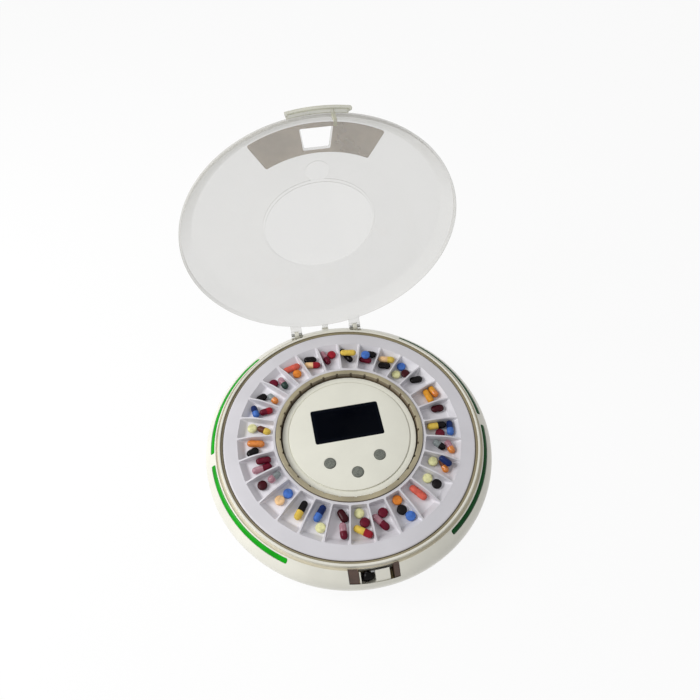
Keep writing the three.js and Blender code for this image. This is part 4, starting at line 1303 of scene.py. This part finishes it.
@dataclass(frozen=True)
class Pill:
    """One pill and its place in a compartment, whose middle line runs outwards."""

    form: Form
    tone: Tone
    outwards: float
    across: float
    heading: float = 0.0
    length: float = 7.2
    far_tone: Tone | None = None
    raised: bool = False

    def solid(self, slim: bool) -> Shape:
        """The pill lying along +X, with its far half's colour towards +X.

        Args:
            slim: Whether it lies in a pile, where the capsules are a smaller size.

        Returns:
            The solid, centred at the origin.
        """
        thick, wide = self.form.value
        if self.form is Form.TABLET:
            top = [(wide, 0.75, 0.25), (3.15, 1.15, 0.2), (2, 1.62), (0, thick)]
            bottom = [(corner[0], -corner[1], *corner[2:]) for corner in reversed(top)]
            return Shape.turned([*bottom, *top], 28)
        half = self.length / 2
        radius = SLIM_RADIUS if slim and self.form is Form.CAPSULE else wide
        body, seam = radius - 0.12, half * 0.1
        pill = Shape.turned([
            (0, -half), (body, -half, body - 0.05), (body, seam), (radius, seam, 0.1),
            (radius, half, radius - 0.05), (0, half)], 24)
        pill.painted(1, lambda middle: middle.z > seam)
        pill.moved(turn(QUARTER_TURN, "Y"))
        if self.form is not Form.CAPSULE:
            pill.moved(Matrix.Diagonal((1, 1, thick / wide, 1)))
        if self.form is Form.CAPLET:
            pill.carve(Shape.block((-0.3, -4, 1.8), (0.3, 4, 4), 0.1))
        return pill

    def looks(self) -> list[Finish]:
        """The finishes of its two halves: glossy gelatin, or a tablet's dull coating."""
        return [self.finish(self.tone), self.finish(self.far_tone or self.tone)]

    def finish(self, tone: Tone) -> Finish:
        """The pill's finish in one colour."""
        colour, density = tone.value
        name = f"{tone.name.lower()}_{self.form.name.lower()}"
        if self.form in (Form.TABLET, Form.CAPLET):
            return Finish(name, colour, 0.42, cloud=0.08, cloud_size=2.5, grain_size=0.25,
                          grain_depth=0.012, specular=0.15)
        if density < 1:
            return Clear(name, colour, 0.12, cloud=0.06, cloud_size=2, grain_depth=0.001,
                         density=density, edge_density=0.95)
        return Finish(name, colour, 0.2, cloud=0.06, cloud_size=3, grain_depth=0.001,
                      specular=0.13)


DOSES: tuple[tuple[Pill, ...], ...] = (
    (Pill(Form.CAPSULE, Tone.BLACK, 73.8, -2.1, 143, 15),
     Pill(Form.CAPSULE, Tone.YELLOW, 73.1, -0.6, 90, 13, raised=True)),
    (Pill(Form.CAPSULE, Tone.MAROON, 70.5, -1.5, 90, 10.6),
     Pill(Form.TABLET, Tone.BLUE, 72.8, -2, raised=True),
     Pill(Form.OVAL, Tone.BLACK, 77.4, 1.9, 90, 9)),
    (Pill(Form.CAPSULE, Tone.PEACH, 76.3, -0.9, 69, 13.4, Tone.YELLOW),
     Pill(Form.OVAL, Tone.BLACK, 70.3, -0.4, 69, 10.4)),
    (Pill(Form.TABLET, Tone.BLUE, 76.3, -3.8),
     Pill(Form.TABLET, Tone.DARK_RED, 72.7, 2.8),
     Pill(Form.TABLET, Tone.CREAM, 67.4, -2.8)),
    (Pill(Form.OVAL, Tone.BLACK, 74, -3, 28, 10.5),),
    (Pill(Form.CAPSULE, Tone.AMBER, 71.6, -0.6, 94, 12.8),
     Pill(Form.CAPSULE, Tone.AMBER, 77.5, -2.3, 85, 10.6, Tone.ORANGE)),
    (Pill(Form.OVAL, Tone.DARK_RED, 73, -3.8, 2, 10.5),),
    (Pill(Form.CAPSULE, Tone.YELLOW, 67.5, -3.9, -6, 15, Tone.BLACK),
     Pill(Form.TABLET, Tone.MAROON, 69.4, 2.4),
     Pill(Form.CAPSULE, Tone.NAVY, 77.5, -1.5, 93, 12.4, Tone.BLUE)),
    (Pill(Form.CAPSULE, Tone.GREY_CLEAR, 68.2, -2.4, 30, 10.6, Tone.BLACK),
     Pill(Form.CAPSULE, Tone.CLEAR_ROSE, 76.2, -2.1, 59, 11.3, Tone.ORANGE)),
    (Pill(Form.TABLET, Tone.CREAM, 65.7, -2.6),
     Pill(Form.CAPSULE, Tone.BROWN, 74, -2, 49, 11.5, Tone.ORANGE),
     Pill(Form.CAPSULE, Tone.NAVY, 74.2, -3.5, 19, 10.6, raised=True)),
    (Pill(Form.TABLET, Tone.CREAM, 66.8, -2.7),
     Pill(Form.TABLET, Tone.BLACK, 74.5, -2.7)),
    (Pill(Form.CAPLET, Tone.SALMON, 67.4, -3.8, -6, 14.6),),
    (Pill(Form.TABLET, Tone.ORANGE, 61.9, -2.2),
     Pill(Form.TABLET, Tone.BLACK, 69.4, -1.1),
     Pill(Form.TABLET, Tone.BLUE, 76.3, -3.8)),
    (Pill(Form.CAPSULE, Tone.CLEAR_ROSE, 71.4, 1.5, -29, 15, Tone.MAROON),
     Pill(Form.TABLET, Tone.MAROON, 65.3, -2.5)),
    (Pill(Form.TABLET, Tone.CREAM, 61.9, 0.2),
     Pill(Form.TABLET, Tone.MAROON, 68.9, -2.9),
     Pill(Form.CAPSULE, Tone.YELLOW, 75.3, -1, -59, 14.6, Tone.RED)),
    (Pill(Form.OVAL, Tone.DARK_RED, 63.6, -1.9, -38, 10.5),
     Pill(Form.CAPSULE, Tone.CLEAR_ROSE, 74.4, -3.4, -14, 12, Tone.MAROON)),
    (Pill(Form.CAPSULE, Tone.NAVY, 65.3, 0.3, 10, 13.4, Tone.BLUE),
     Pill(Form.TABLET, Tone.CREAM, 74.5, -3.5)),
    (Pill(Form.CAPSULE, Tone.BLACK, 68.7, -1.2, -5, 15, Tone.YELLOW),),
    (Pill(Form.TABLET, Tone.BLUE, 64.3, 0),
     Pill(Form.TABLET, Tone.PEACH, 71.9, 0.6)),
    (Pill(Form.CAPSULE, Tone.GREY_CLEAR, 64.6, 2.2, -8, 11, Tone.CLEAR_ROSE),
     Pill(Form.TABLET, Tone.DARK_RED, 74.9, 1.9)),
    (Pill(Form.CAPSULE, Tone.MAROON, 67, 3.6, -169, 11.4),
     Pill(Form.CAPSULE, Tone.CLEAR_ROSE, 69.9, -2.1, 183, 15, Tone.MAROON)),
    (Pill(Form.CAPSULE, Tone.ORANGE, 70.7, 3.9, -169, 13.3),
     Pill(Form.OVAL, Tone.BLACK, 73.6, -2.5, 157, 9.6)),
    (Pill(Form.TABLET, Tone.CREAM, 74.5, 1.8),
     Pill(Form.CAPSULE, Tone.BROWN, 65.3, 0.2, -160, 11.1, Tone.YELLOW)),
    (Pill(Form.CAPSULE, Tone.NAVY, 76, -0.2, -127, 10.9, Tone.BLUE),
     Pill(Form.CAPSULE, Tone.MAROON, 67.7, 2.2, 147, 10.6, Tone.RED)),
    (Pill(Form.OVAL, Tone.BLACK, 76.6, -3.3, 119, 9),
     Pill(Form.CAPSULE, Tone.GREY_CLEAR, 68.1, -0.1, -163, 10.8, Tone.ORANGE)),
    (Pill(Form.TABLET, Tone.MAROON, 76.3, -3.8),
     Pill(Form.CAPSULE, Tone.CLEAR_ROSE, 70.4, 1.1, 195, 11.7, Tone.DARK_GREEN)),
    (Pill(Form.CAPLET, Tone.SALMON, 76.9, -0.4, 100, 14.6),
     Pill(Form.TABLET, Tone.ORANGE, 70.1, 0.3)),
    (Pill(Form.OVAL, Tone.BLACK, 76.5, 0.2, 112, 10.5),
     Pill(Form.CAPSULE, Tone.PEACH, 70.6, -0.5, 112, 13.6, Tone.RED)),
    (Pill(Form.CAPSULE, Tone.CLEAR_ROSE, 73.7, -3.7, 162, 13.7, Tone.MAROON),
     Pill(Form.TABLET, Tone.RED, 76.3, 2.1)),
)


@dataclass
class Doses:
    """The pills in the compartments, which turn with the tray."""

    tray: Tray
    rest_gap: float = 0.04

    def place(self, pill: Pill, number: int) -> Matrix:
        """Where a pill lies.

        Args:
            pill: The pill.
            number: Its compartment.

        Returns:
            The transform from a pill that lies along +X.
        """
        angle = QUARTER_TURN - self.tray.middle_angle(number)
        height = self.tray.floor + pill.form.value[0] + self.rest_gap
        if pill.form is Form.CAPSULE and self.piled(number):
            height -= Form.CAPSULE.value[0] - SLIM_RADIUS
        if pill.raised:
            height += 2 * SLIM_RADIUS + self.rest_gap
        return turn(angle) @ shift(pill.outwards, -pill.across, height) @ turn(-pill.heading)

    def piled(self, number: int) -> bool:
        """Whether a compartment's pills lie on each other."""
        return any(pill.raised for pill in DOSES[number - 1])

    def build(self) -> None:
        """Makes one piece for each compartment."""
        for number, pills in enumerate(DOSES, 1):
            dose = Shape()
            looks: list[Finish] = []
            for pill in pills:
                lump = pill.solid(self.piled(number)).moved(self.place(pill, number))
                for face in lump.bm.faces:
                    face.material_index += len(looks)
                looks += pill.looks()
                dose.beside(lump)
            dose.piece(f"dose_{number:02d}", Body.TRAY, looks, sharp=SHARP_PILL_ANGLE)


@dataclass
class Lock:
    """The key lock in front: its housing, barrel and the block round it."""

    barrel_place: Corner = joint_place("key_turn")
    sides: tuple[float, float] = (-20.5, 13.9)
    hollow: tuple[float, float] = (-13.8, 10.2)
    inner: float = 100.0
    outer: float = 107.9
    crest: tuple[float, float] = (100.95, 41.9)
    slope: float = 40.0
    floor: float = 26.7
    floor_top: float = 28.2
    bolt_hole: tuple[Corner, Corner] = ((0, -102.3, 32.15), (11.3, -95, 36.65))
    barrel_radius: float = 4.7
    barrel_back: float = 101.75
    barrel_front: float = 106.0
    key_slot: tuple[float, float, float] = (0.45, 2.4, 1.1)
    bore_radius: float = 5.0
    block_sides: tuple[float, float] = (-13.5, 7.2)
    block_back: float = 101.75
    block_bottom: float = 28.5
    block_sweep: tuple[int, float, float] = (60, -98.5, 14.0)
    ridge_sides: tuple[float, float] = (-2.2, 7.2)
    ridge_back: float = 101.0
    ridge_bottom: float = 37.2

    def under_shoulder(self, inner: float, bottom: float,
                       sweep: tuple[int, float, float]) -> Shape:
        """A stretch of a ring that stays under the shoulder's surface.

        Args:
            inner: Its inner radius.
            bottom: Its lower face.
            sweep: Its steps, where it starts in degrees from +X, and how far it goes.

        Returns:
            The solid.
        """
        crest, top = self.crest
        corners = [(inner, bottom), (self.outer, bottom), (self.outer, 35.9, 1.2),
                   (105.39, 38.17, 2.5)]
        if inner < crest:
            corners += [self.crest, (inner, top)]
        else:
            corners.append((inner, top - (inner - crest) * math.tan(math.radians(self.slope))))
        return Shape.turned(corners, *sweep)

    def at_barrel(self) -> Matrix:
        """The turn that lays an upright rod along the barrel's axis."""
        x, _, z = self.barrel_place
        return shift(x, 0, z) @ turn(-QUARTER_TURN, "X")

    def cradle(self) -> None:
        """The brown housing, with a cheek at each side; the inside of its hollow takes painted
        light.
        """
        ring = self.under_shoulder(self.inner, self.floor, FRONT_SWEEP)
        ring.carve(front_block(self.sides, 1.0), Carve.KEEP)
        left, right = self.hollow
        ring.carve(Shape.block((left, -115, self.floor_top), (right, -90, 50)).bevelled(
            is_upright, 0.4))
        ring.carve(Shape.block(*self.bolt_hole))
        # Painted light: the floor and inner faces of the hollow take the pale olive.
        ring.painted(1, lambda middle: left - 0.1 < middle.x < self.block_sides[1]
                     and middle.z > self.floor_top - 0.1)
        ring.piece("lock_cradle", Body.CASING, [Looks.BROWN, Looks.CRADLE_PAINTED_LIGHT], "lock_housing")

    def key_barrel(self) -> None:
        """The glossy barrel with its key slot."""
        radius, front, back = self.barrel_radius, -self.barrel_front, -self.barrel_back
        rod = Shape.turned([
            (0, front), (2.4, front, 0.8), (radius - 0.5, -104.9, 1.0), (radius, -103.6, 0.8),
            (radius, back, 0.2), (0, back)], 48)
        x, y, depth = self.key_slot
        rod.carve(Shape.block((-x, -y, front - 2), (x, y, front + depth), 0.15))
        rod.moved(self.at_barrel()).piece(
            "key_barrel", Body.LOCK, [Looks.BLACK], "lock_barrel")

    def block(self) -> None:
        """The pale block round the barrel, that the lid's latch tab shuts onto."""
        ring = self.under_shoulder(self.block_back, self.block_bottom, self.block_sweep)
        ring.carve(front_block(self.block_sides, 0.5), Carve.KEEP)
        ridge = self.under_shoulder(self.ridge_back, self.ridge_bottom, self.block_sweep)
        ring.carve(ridge.carve(front_block(self.ridge_sides, 0.3), Carve.KEEP), Carve.JOIN)
        (x, _, z), radius = self.barrel_place, self.bore_radius
        ring.carve(Shape.rod(radius, -115, -95, 0, 48).moved(self.at_barrel()))
        ring.carve(Shape.block((x - radius, -115, z), (x + radius, -95, 50)))
        ring.piece("pale_block", Body.CASING, [Looks.CREAM], "latch_block")

    def build(self) -> None:
        """Makes the lock's pieces."""
        self.cradle()
        self.key_barrel()
        self.block()


@dataclass
class Lid:
    """The clear lid, drawn closed and then turned open about its hinge."""

    hinge: Hinge
    open_angle: float = joint("lid_hinge")["range_deg"][1]
    wall: float = 1.4
    rim: float = 100.6
    rim_bottom: float = 42.0
    rim_top: float = 45.3
    panel: float = 90.5
    panel_top: float = 53.0
    disc: float = 41.4
    disc_centre: float = -4.0
    disc_step: float = 0.8
    sunk: float = 0.5
    dot_distance: float = 52.0
    dot_radius: float = 8.3
    dot_step: float = 0.5
    arm_start: float = 94.0
    knuckle: float = 3.2
    fork: tuple[float, float] = (3.7, 2.1)
    stop: tuple[Corner, Corner] = ((-2.5, 99.9, 42.6), (2.5, 106.6, 44.4))
    mask_inner: float = 68.7
    mask_outer: float = 90.0
    mask_half: float = 29.3
    mask_heights: tuple[float, float] = (50.4, 51.3)
    mask_margin: float = 0.8
    opening: tuple[float, float] = (71.3, 86.2)
    opening_widths: tuple[float, float] = (16.0, 20.0)
    tab_half: float = 20.0
    tab_wall: float = 1.3
    tab_nose: float = 107.9
    tab_bottom: float = 38.0
    tab_top: float = 44.6
    cheek_angle: float = 0.7
    hook: tuple[float, float] = (7.8, 9.6)
    hook_depths: tuple[float, float] = (-104.6, -100.15)
    hook_heights: tuple[float, float] = (30.55, 43.95)
    bolt_gap: tuple[float, float, float] = (-101.75, 32.15, 36.65)

    def open_place(self) -> Matrix:
        """The turn that opens the closed lid."""
        return turn(-self.open_angle, "X", (0, self.hinge.y, self.hinge.z))

    def dish(self) -> Shape:
        """The turned shell of the lid: rim, cone and flat panel."""
        under, inside = self.panel_top - self.wall, self.rim - self.wall
        return Shape.turned([
            (inside, self.rim_bottom, 0.3), (self.rim, self.rim_bottom, 0.3),
            (self.rim, self.rim_top, 1.5), (self.panel, self.panel_top, 3.5),
            (0, self.panel_top), (0, under), (self.panel, under, 1.5), (inside, self.rim_top)])

    def disc_rod(self, radius: float, bottom: float, top: float, rounding: float) -> Shape:
        """A round plate at the raised disc's place."""
        return Shape.rod(radius, bottom, top, rounding, FINE_STEPS).moved(
            shift(0, self.disc_centre))

    def arm(self) -> Shape:
        """One hinge arm, at +X."""
        x, half, start = self.hinge.arm_x, self.hinge.arm_width / 2, self.arm_start
        strap = Shape.drawn([
            (start, 42.3), (99.6, 42.3, 0.6), (101.73, 37.4), (self.hinge.y, self.hinge.z),
            (102.9, 41.77, 0.8), (99.9, 45.4, 1), (start, 45.4)], Facing.SIDE, x - half, x + half)
        strap.carve(Shape.rod(self.rim - self.wall / 2, 30, 60, 0, FINE_STEPS))
        return strap.carve(self.hinge.rod(self.knuckle, half, 0.3, 32), Carve.JOIN)

    def window(self, margin: float, corner: float, bottom: float, top: float) -> Shape:
        """A solid in the shape of the dispensing opening.

        Args:
            margin: How far it is larger than the opening.
            corner: The radius of its corners.
            bottom: Its lower face.
            top: Its upper face.

        Returns:
            The solid.
        """
        near, far = self.opening[0] - margin, self.opening[1] + margin
        inner, outer = (width / 2 + margin for width in self.opening_widths)
        return Shape.drawn([
            (-inner, -near, corner), (-outer, -far, corner), (outer, -far, corner),
            (inner, -near, corner)], Facing.TOP, bottom, top)

    def shell(self) -> None:
        """The clear moulding: dish, disc, arms, stop tab, dot and dispensing opening."""
        top, step, low = self.panel_top, self.disc_step, self.panel_top - self.sunk
        body = self.dish().carve(self.disc_rod(self.disc, low, top + step, 0.3), Carve.JOIN)
        dot = Shape.rod(self.dot_radius, low, top + self.dot_step, 0.12, 64)
        extras = self.arm().mirrored().beside(
            Shape.block(*self.stop, 0.4), dot.moved(shift(0, -self.dot_distance)))
        body.carve(extras, Carve.JOIN)
        fork = self.hinge.rod(*self.fork, 0, 32)
        fork.carve(self.hinge.rod(self.hinge.hole_radius, 7), Carve.JOIN)
        hollow = self.disc_rod(self.disc - self.wall, 40, top + step - self.wall, 0.2)
        cuts = self.window(0, 0.8, self.rim_top, top + 4)
        body.carve(cuts.beside(fork.mirrored(), hollow))
        body.painted(1, self.in_disc_or_dot)
        body.moved(self.open_place()).piece(
            "clear_lid", Body.LID, [Looks.CLEAR, Looks.CLEAR_DISC], "lid_shell")

    def in_disc_or_dot(self, place: Vector) -> bool:
        """Whether a face of the closed lid lies on the raised disc or on the dot."""
        in_disc = math.hypot(place.x, place.y - self.disc_centre) < self.disc - 0.2
        in_dot = math.hypot(place.x, place.y + self.dot_distance) < self.dot_radius - 0.2
        top = self.panel_top
        return in_disc and place.z > top - 1 or in_dot and place.z > top + 0.3

    def mask(self) -> None:
        """The smoky panel round the opening, just under the lid."""
        low, high = self.mask_heights
        ring = Shape.turned([
            (self.mask_inner, low), (self.mask_outer, low), (self.mask_outer, high),
            (self.mask_inner, high)], 60, -QUARTER_TURN - self.mask_half, 2 * self.mask_half)
        ring.bevelled(lambda edge: is_upright(edge) and edge.calc_face_angle(0) > 1, 1.2)
        ring.carve(self.window(self.mask_margin, 1, self.rim_top, self.panel_top + 2))
        ring.moved(self.open_place()).piece("smoky_panel", Body.LID, [Looks.MASK], "lid_mask")

    def tab(self) -> None:
        """The pale latch tab with its hook, on the lid's front edge."""
        wall, nose, low, high = self.tab_wall, self.tab_nose, self.tab_bottom, self.tab_top
        outside = [(100.9, high), (104.5, high, 1.6), (106.9, 42.6, 1.5), (nose, 40.2, 1.2),
                   (nose, low, 0.3)]
        inside = [(nose - wall, low, 0.3), (nose - wall, 39.9, 0.8), (106.9 - wall, 41.6, 1.0),
                  (104.2, high - wall, 1.0), (100.9, high - wall)]
        sweep = math.degrees(2 * math.asin(self.tab_half / nose))
        first, cheek = -QUARTER_TURN - sweep / 2, self.cheek_angle
        skin = Shape.turned(outside + inside, 48, first, sweep)
        cheeks = [Shape.turned([*outside, (nose - wall, low)], 4, start, cheek)
                  for start in (first, first + sweep - cheek)]
        (left, right), (front, back), (bottom, top) = (
            self.hook, self.hook_depths, self.hook_heights)
        hook = Shape.block((left, front, bottom), (right, back, top), 0.15)
        gap_front, gap_low, gap_high = self.bolt_gap
        hook.carve(Shape.block((left - 2, gap_front, gap_low), (right + 2, -95, gap_high)))
        skin.carve(cheeks[0].beside(cheeks[1]), Carve.JOIN).carve(hook, Carve.JOIN)
        skin.moved(self.open_place()).piece("latch_flap", Body.LID, [Looks.TAB], "latch_tab")

    def build(self) -> None:
        """Makes the lid's pieces."""
        self.shell()
        self.mask()
        self.tab()


class Inside:
    """The nodes that stay as they are, with their finishes."""

    LOOKS: dict[Finish, tuple[str, ...]] = {
        Looks.GEAR: ("drive_pinion",),
        Looks.MATTE: ("lcd_module", "buzzer", "tray_sensor"),
        Looks.BLACK: ("lock_cam",),
        Looks.STEEL: ("drive_motor", "lock_bolt", "contact_plate_front", "contact_plate_rear"),
        Looks.BOARD: ("main_board", "led_strip_1", "led_strip_2", "led_strip_3", "led_strip_4"),
        Looks.WRAP: ("battery_1", "battery_2", "battery_3", "battery_4"),
    }

    def build(self) -> None:
        """Gives each remaining node its finish."""
        for look, nodes in self.LOOKS.items():
            for node in nodes:
                mesh = frame["nodes"][node].data
                mesh.materials.clear()
                mesh.materials.append(look.material())
                log.info("%s: %s", node, look.name)


@dataclass
class Studio:
    """The pale floor, the light and the camera."""

    floor_size: float = 12.0
    floor_colour: tuple[float, ...] = (0.95, 0.95, 0.95, 1)
    eye: tuple[float, float, float] = (-0.04631, -0.21188, 0.45460)
    heading: float = 12.127
    looking_down: float = 54.276
    roll: float = 1.107
    lens: float = 31.15
    sensor: float = 36.0
    clip: tuple[float, float] = (0.01, 50.0)
    ambient: float = 0.48
    key_power: float = 4.4
    key_size: float = 0.5
    key_place: tuple[float, float, float] = (-0.62, 0.06, 0.6)
    floor_glow: float = 0.9

    def seen_directly(self, nodes: bpy.types.Nodes,
                      links: bpy.types.NodeLinks) -> bpy.types.NodeSocket:
        """A value that is 1 for rays that show the background.

        Args:
            nodes: The tree's nodes.
            links: The tree's links.

        Returns:
            The value.
        """
        rays = nodes.new("ShaderNodeLightPath")
        total = rays.outputs["Is Camera Ray"]
        for name in ("Is Glossy Ray", "Is Transmission Ray"):
            add = nodes.new("ShaderNodeMath")
            add.operation = "MAXIMUM"
            links.new(total, add.inputs[0])
            links.new(rays.outputs[name], add.inputs[1])
            total = add.outputs[0]
        return total

    def floor(self) -> None:
        """A pale floor that keeps the object's shadow."""
        bm = bmesh.new()
        bmesh.ops.create_grid(bm, x_segments=4, y_segments=4, size=self.floor_size / 2)
        mesh = bpy.data.meshes.new("studio_floor")
        bm.to_mesh(mesh)
        bm.free()
        material = bpy.data.materials.new("studio_floor")
        material.use_nodes = True
        nodes, links = material.node_tree.nodes, material.node_tree.links
        nodes.clear()
        matte = nodes.new("ShaderNodeBsdfDiffuse")
        matte.inputs["Color"].default_value = self.floor_colour
        glow = nodes.new("ShaderNodeEmission")
        share = nodes.new("ShaderNodeMath")
        share.operation = "MULTIPLY"
        share.inputs[1].default_value = self.floor_glow
        links.new(self.seen_directly(nodes, links), share.inputs[0])
        mix = nodes.new("ShaderNodeMixShader")
        links.new(share.outputs[0], mix.inputs[0])
        links.new(matte.outputs[0], mix.inputs[1])
        links.new(glow.outputs[0], mix.inputs[2])
        links.new(mix.outputs[0], nodes.new("ShaderNodeOutputMaterial").inputs[0])
        mesh.materials.append(material)
        floor = bpy.data.objects.new("studio_floor", mesh)
        bpy.context.scene.collection.objects.link(floor)

    def world(self) -> None:
        """An even sky that shows white."""
        world = bpy.data.worlds.new("studio_sky")
        bpy.context.scene.world = world
        world.use_nodes = True
        nodes, links = world.node_tree.nodes, world.node_tree.links
        sky = nodes["Background"]
        level = nodes.new("ShaderNodeMapRange")
        level.inputs["To Min"].default_value = self.ambient
        level.inputs["To Max"].default_value = 1.0
        links.new(self.seen_directly(nodes, links), level.inputs["Value"])
        links.new(level.outputs["Result"], sky.inputs["Strength"])
        sky.inputs["Color"].default_value = (1, 1, 1, 1)

    def lamp(self) -> None:
        """One soft lamp, high at the left."""
        data = bpy.data.lights.new("key_lamp", "AREA")
        data.shape = "DISK"
        data.size = self.key_size
        data.energy = self.key_power
        lamp = bpy.data.objects.new("key_lamp", data)
        place = Vector(self.key_place)
        lamp.matrix_world = Matrix.Translation(place) @ (
            -place).to_track_quat("-Z", "Y").to_matrix().to_4x4()
        bpy.context.scene.collection.objects.link(lamp)

    def camera(self) -> None:
        """The photograph's view."""
        data = bpy.data.cameras.new("photo_view")
        data.sensor_width = self.sensor
        data.lens = self.lens
        data.clip_start, data.clip_end = self.clip
        camera = bpy.data.objects.new("photo_view", data)
        camera.matrix_world = Matrix.Translation(self.eye) @ turn(-self.heading) @ turn(
            QUARTER_TURN - self.looking_down, "X") @ turn(self.roll)
        bpy.context.scene.collection.objects.link(camera)
        bpy.context.scene.camera = camera
        bpy.context.scene.view_settings.view_transform = "Standard"

    def build(self) -> None:
        """Sets up the studio."""
        self.camera()
        self.floor()
        self.world()
        self.lamp()


def main() -> None:
    """Builds the studio and the pill box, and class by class."""
    logging.basicConfig(level=logging.INFO, format="%(name)s %(message)s")
    hinge, tray = Hinge(), Tray()
    parts = [Studio(), Casing(hinge), Hub(), tray, Doses(tray), Lock(), Lid(hinge), Inside()]
    for part in parts:
        part.build()


if __name__ == "__main__":
    main()
